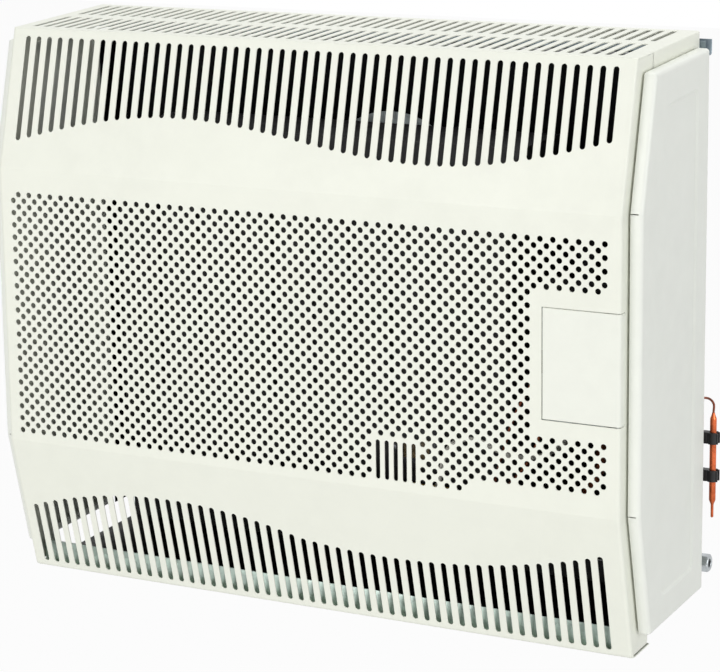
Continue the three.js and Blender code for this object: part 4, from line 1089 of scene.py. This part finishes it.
piece("inlet_pipe", bent_tube([
    (322, -14, -225.7), (322, -14, -202), (322, -44, -168), (318, VALVE_Y + 10, PORT_Z - 60),
    (318, VALVE_Y, PORT_Z - 24), (318, VALVE_Y, PORT_Z)], PIPE, 24, 12), COPPER, "copper", "gas_inlet_pipe")
piece("burner_pipe", bent_tube([
    (286, VALVE_Y, PORT_Z), (286, VALVE_Y, PORT_Z - 30), (280, -112, -124), (258, -112, -164),
    (232.3, -112, -174), (202.3, -112, -174)], PIPE, 24, 12), COPPER, "copper", "burner_supply_pipe")
piece("pilot_tube", bent_tube([
    (262.7, -127, 28), (251.7, -127, 28), (241.7, -145, -16), (233.7, PILOT[1] - 6, PILOT[2] + 73),
    *by_pilot((86, -18, 23), (40, -20, -13), (16, -26, -9), (0, -30, 0), (0, -16.3, 0))],
    THIN_PIPE), COPPER, "copper", "pilot_pipe")
piece("sensor_lead", bent_tube([
    (262.7, -147, 28), (251.7, -147, 28), (237.7, -165, -16), (217.7, PILOT[1] - 20, -66),
    *by_pilot((95, -26, 63), (80, -30, 13), (40, -32, -23), (-6, -32, -23), (-13, -30, -6), (-13, -26, 0),
              (-13, -14.3, 0))],
    SENSOR_LEAD, 12), LEAD_COPPER, "copper", "thermocouple_lead")
piece("spark_lead", bent_tube([
    (302, -140.4, -40), (302, -122.7, -40), (296, -106.7, -60), (262, -116.7, -88), (246, PILOT[1], -104),
    *by_pilot((112, -36, 73), (76, -48, 89), (50, -50, 77), (38, -48, 38), (26, -44, 8), (13, -34, 0),
              (13, -14.3, 0))],
    SPARK_LEAD), SILICONE, "white_silicone", "ignition_lead")

# Room thermostat
BULB = (363.0, -14.0)
piece("sensor_bulb", turned("z", BULB, [
    (0, -198.5), (1.0, -198.4), (1.5, -197.6), (1.5, -185.5), (1.7, -184), (2.6, -182), (3.3, -180.2),
    (3.4, -179), (3.4, -95), (3.2, -93.6), (2.4, -91.6), (1.7, -89.6), (1.5, -88), (0, -88)], 32),
    BULB_COPPER, "copper", "thermostat_bulb")
piece("capillary", bent_tube([
    (363, -14, -87.7), (363, -14, -79), (360, -21, -72), (354, -36, -68), (347, -44, -66), (337.2, -50, -60),
    (326, -79, -24), (326, -95, 6), (326, -112.7, 6)], 1.2, 12, 12), LEAD_COPPER, "copper", "capillary_tube")


def bulb_clip(name, node, z):
    """A sprung clip: an open ring with a lip at each side of its mouth, on a foot that reaches the frame."""
    low, high = z - 6, z + 6
    mouth = 140  # degrees from the middle of the ring's back to each lip
    section = [(3.75 + shrink, level) for shrink, level in (
        (0.35, low), (0, low + 0.4), (0, high - 0.4), (0.35, high))]
    section += [(6.2 - (r - 3.75), level) for r, level in section[::-1]]
    ring = [[(BULB[0] - r * math.cos(a), BULB[1] - r * math.sin(a), level) for r, level in section]
            for a in np.radians(range(-mouth, mouth + 1, 10))]
    lips = []
    for sign in (-1, 1):
        a = math.radians(mouth) * sign
        x, y = BULB[0] - 5 * math.cos(a), BULB[1] - 5 * math.sin(a)
        lips.append(box((x - 1.1, x + 2.4), (y - 1.1, y + 1.1), (low + 0.3, high - 0.3), 0.5, 3))
    foot = box((339.5, BULB[0] - 4.6), (-18.5, -9.5), (low, high), 0.8, 3)
    piece(name, gather(skin(ring), *lips, foot), BLACK, "black_plastic", node)


bulb_clip("clip_upper", "bulb_clip_upper", -114.5)
bulb_clip("clip_lower", "bulb_clip_lower", -154.0)


def pan_screw(name, node, axis, seat, centre):
    """A pan head screw with a crossed recess. Its head lies before its seat."""
    head = seat - 0.3
    shape = turned(axis, centre, [
        (0, head - 2.4), (1.6, head - 2.35), (2.7, head - 2.0), (3.35, head - 1.2), (3.6, head - 0.3),
        (3.6, head), (1.9, head), (1.9, seat + 8.6), (1.2, seat + 9.5), (0, seat + 9.5)], 32)
    screw = piece(name, shape, STEEL, "steel", node)
    a, b = centre
    recess = []
    for u, v in ((1.7, 0.35), (0.35, 1.7)):
        across, deep, along = (a - u, a + u), (head - 3, head - 1.1), (b - v, b + v)
        recess.append(box(*((across, deep, along) if axis == "y" else (across, along, deep)), 0))
    cut(screw, recess)


SIGHT_FACE = -177 - 0.3 - 4 - 0.3 - 2.5  # chamber's front, gap, glass, gap and the glass's frame
SILL_SCREW_Y = -167.25
pan_screw("screw_sight_left", "sight_screw_left", "y", SIGHT_FACE, (87.5, -111))
pan_screw("screw_sight_right", "sight_screw_right", "y", SIGHT_FACE, (133.5, -111))
pan_screw("screw_sill_left", "casing_screw_left", "z", BOTTOM, (-250, SILL_SCREW_Y))
pan_screw("screw_sill_right", "casing_screw_right", "z", BOTTOM, (250, SILL_SCREW_Y))

# Stage


def light(name, place, aim, size, power, colour=(1, 1, 1)):
    data = bpy.data.lights.new(name, "AREA")
    data.shape = "RECTANGLE"
    data.size, data.size_y = size
    data.energy = power
    data.color = colour
    lamp = add(name, data)
    lamp.location = place
    lamp.rotation_mode = "QUATERNION"
    lamp.rotation_quaternion = (Vector(aim) - Vector(place)).to_track_quat("-Z", "Y")


def white_to_eye(tree, shader, out, share=1.0):
    """Shows plain white to the camera and to reflections, and the given shader to the light."""
    nodes, links = tree.nodes, tree.links
    path = nodes.new("ShaderNodeLightPath")
    seen = path.outputs["Is Camera Ray"]
    for name in ("Is Glossy Ray", "Is Transmission Ray"):
        seen = maths(tree, "MAXIMUM", seen, path.outputs[name])
    if share != 1.0:
        seen = maths(tree, "MULTIPLY", seen, share)
    kind = "ShaderNodeBackground" if out.bl_idname == "ShaderNodeOutputWorld" else "ShaderNodeEmission"
    white = nodes.new(kind)
    white.inputs["Color"].default_value = (1, 1, 1, 1)
    white.inputs["Strength"].default_value = 1
    mix = nodes.new("ShaderNodeMixShader")
    links.new(seen, mix.inputs[0])
    links.new(shader.outputs[0], mix.inputs[1])
    links.new(white.outputs[0], mix.inputs[2])
    links.new(mix.outputs[0], out.inputs["Surface"])


def set_stage():
    world = bpy.data.worlds.new("world")
    world.use_nodes = True
    bpy.context.scene.world = world
    tree = world.node_tree
    plain = tree.nodes["Background"]
    plain.inputs["Color"].default_value = (0.97, 0.985, 1, 1)
    plain.inputs["Strength"].default_value = 0.42
    white_to_eye(tree, plain, tree.nodes["World Output"])

    corners = [(x * 14000, y * 14000, -1500) for x, y in ((-1, -1), (1, -1), (1, 1), (-1, 1))]
    mesh = mesh_of("floor", corners, [(0, 1, 2, 3)])
    floor = add("floor", mesh)
    paper = bpy.data.materials.new("pale_floor")
    paper.use_nodes = True
    tree = paper.node_tree
    matt = tree.nodes["Principled BSDF"]
    matt.inputs["Base Color"].default_value = (0.78, 0.78, 0.78, 1)
    matt.inputs["Roughness"].default_value = 0.95
    white_to_eye(tree, matt, tree.nodes["Material Output"], 0.95)
    mesh.materials.append(paper)

    # name, place, aim, size, watts and colour
    light("key", (-0.9, -3.75, 0.6), (0, 0, 0), (2.4, 2.0), 63.5, (1, 0.995, 0.985))
    light("fill", (3.2, -1.5, 0.7), (0.2, 0, 0), (1.8, 1.8), 41, (0.99, 0.995, 1))
    light("over", (0.2, 0.75, 2.6), (0, -0.1, 0), (2.0, 1.6), 34)
    bpy.context.scene.view_settings.view_transform = "Standard"


set_stage()
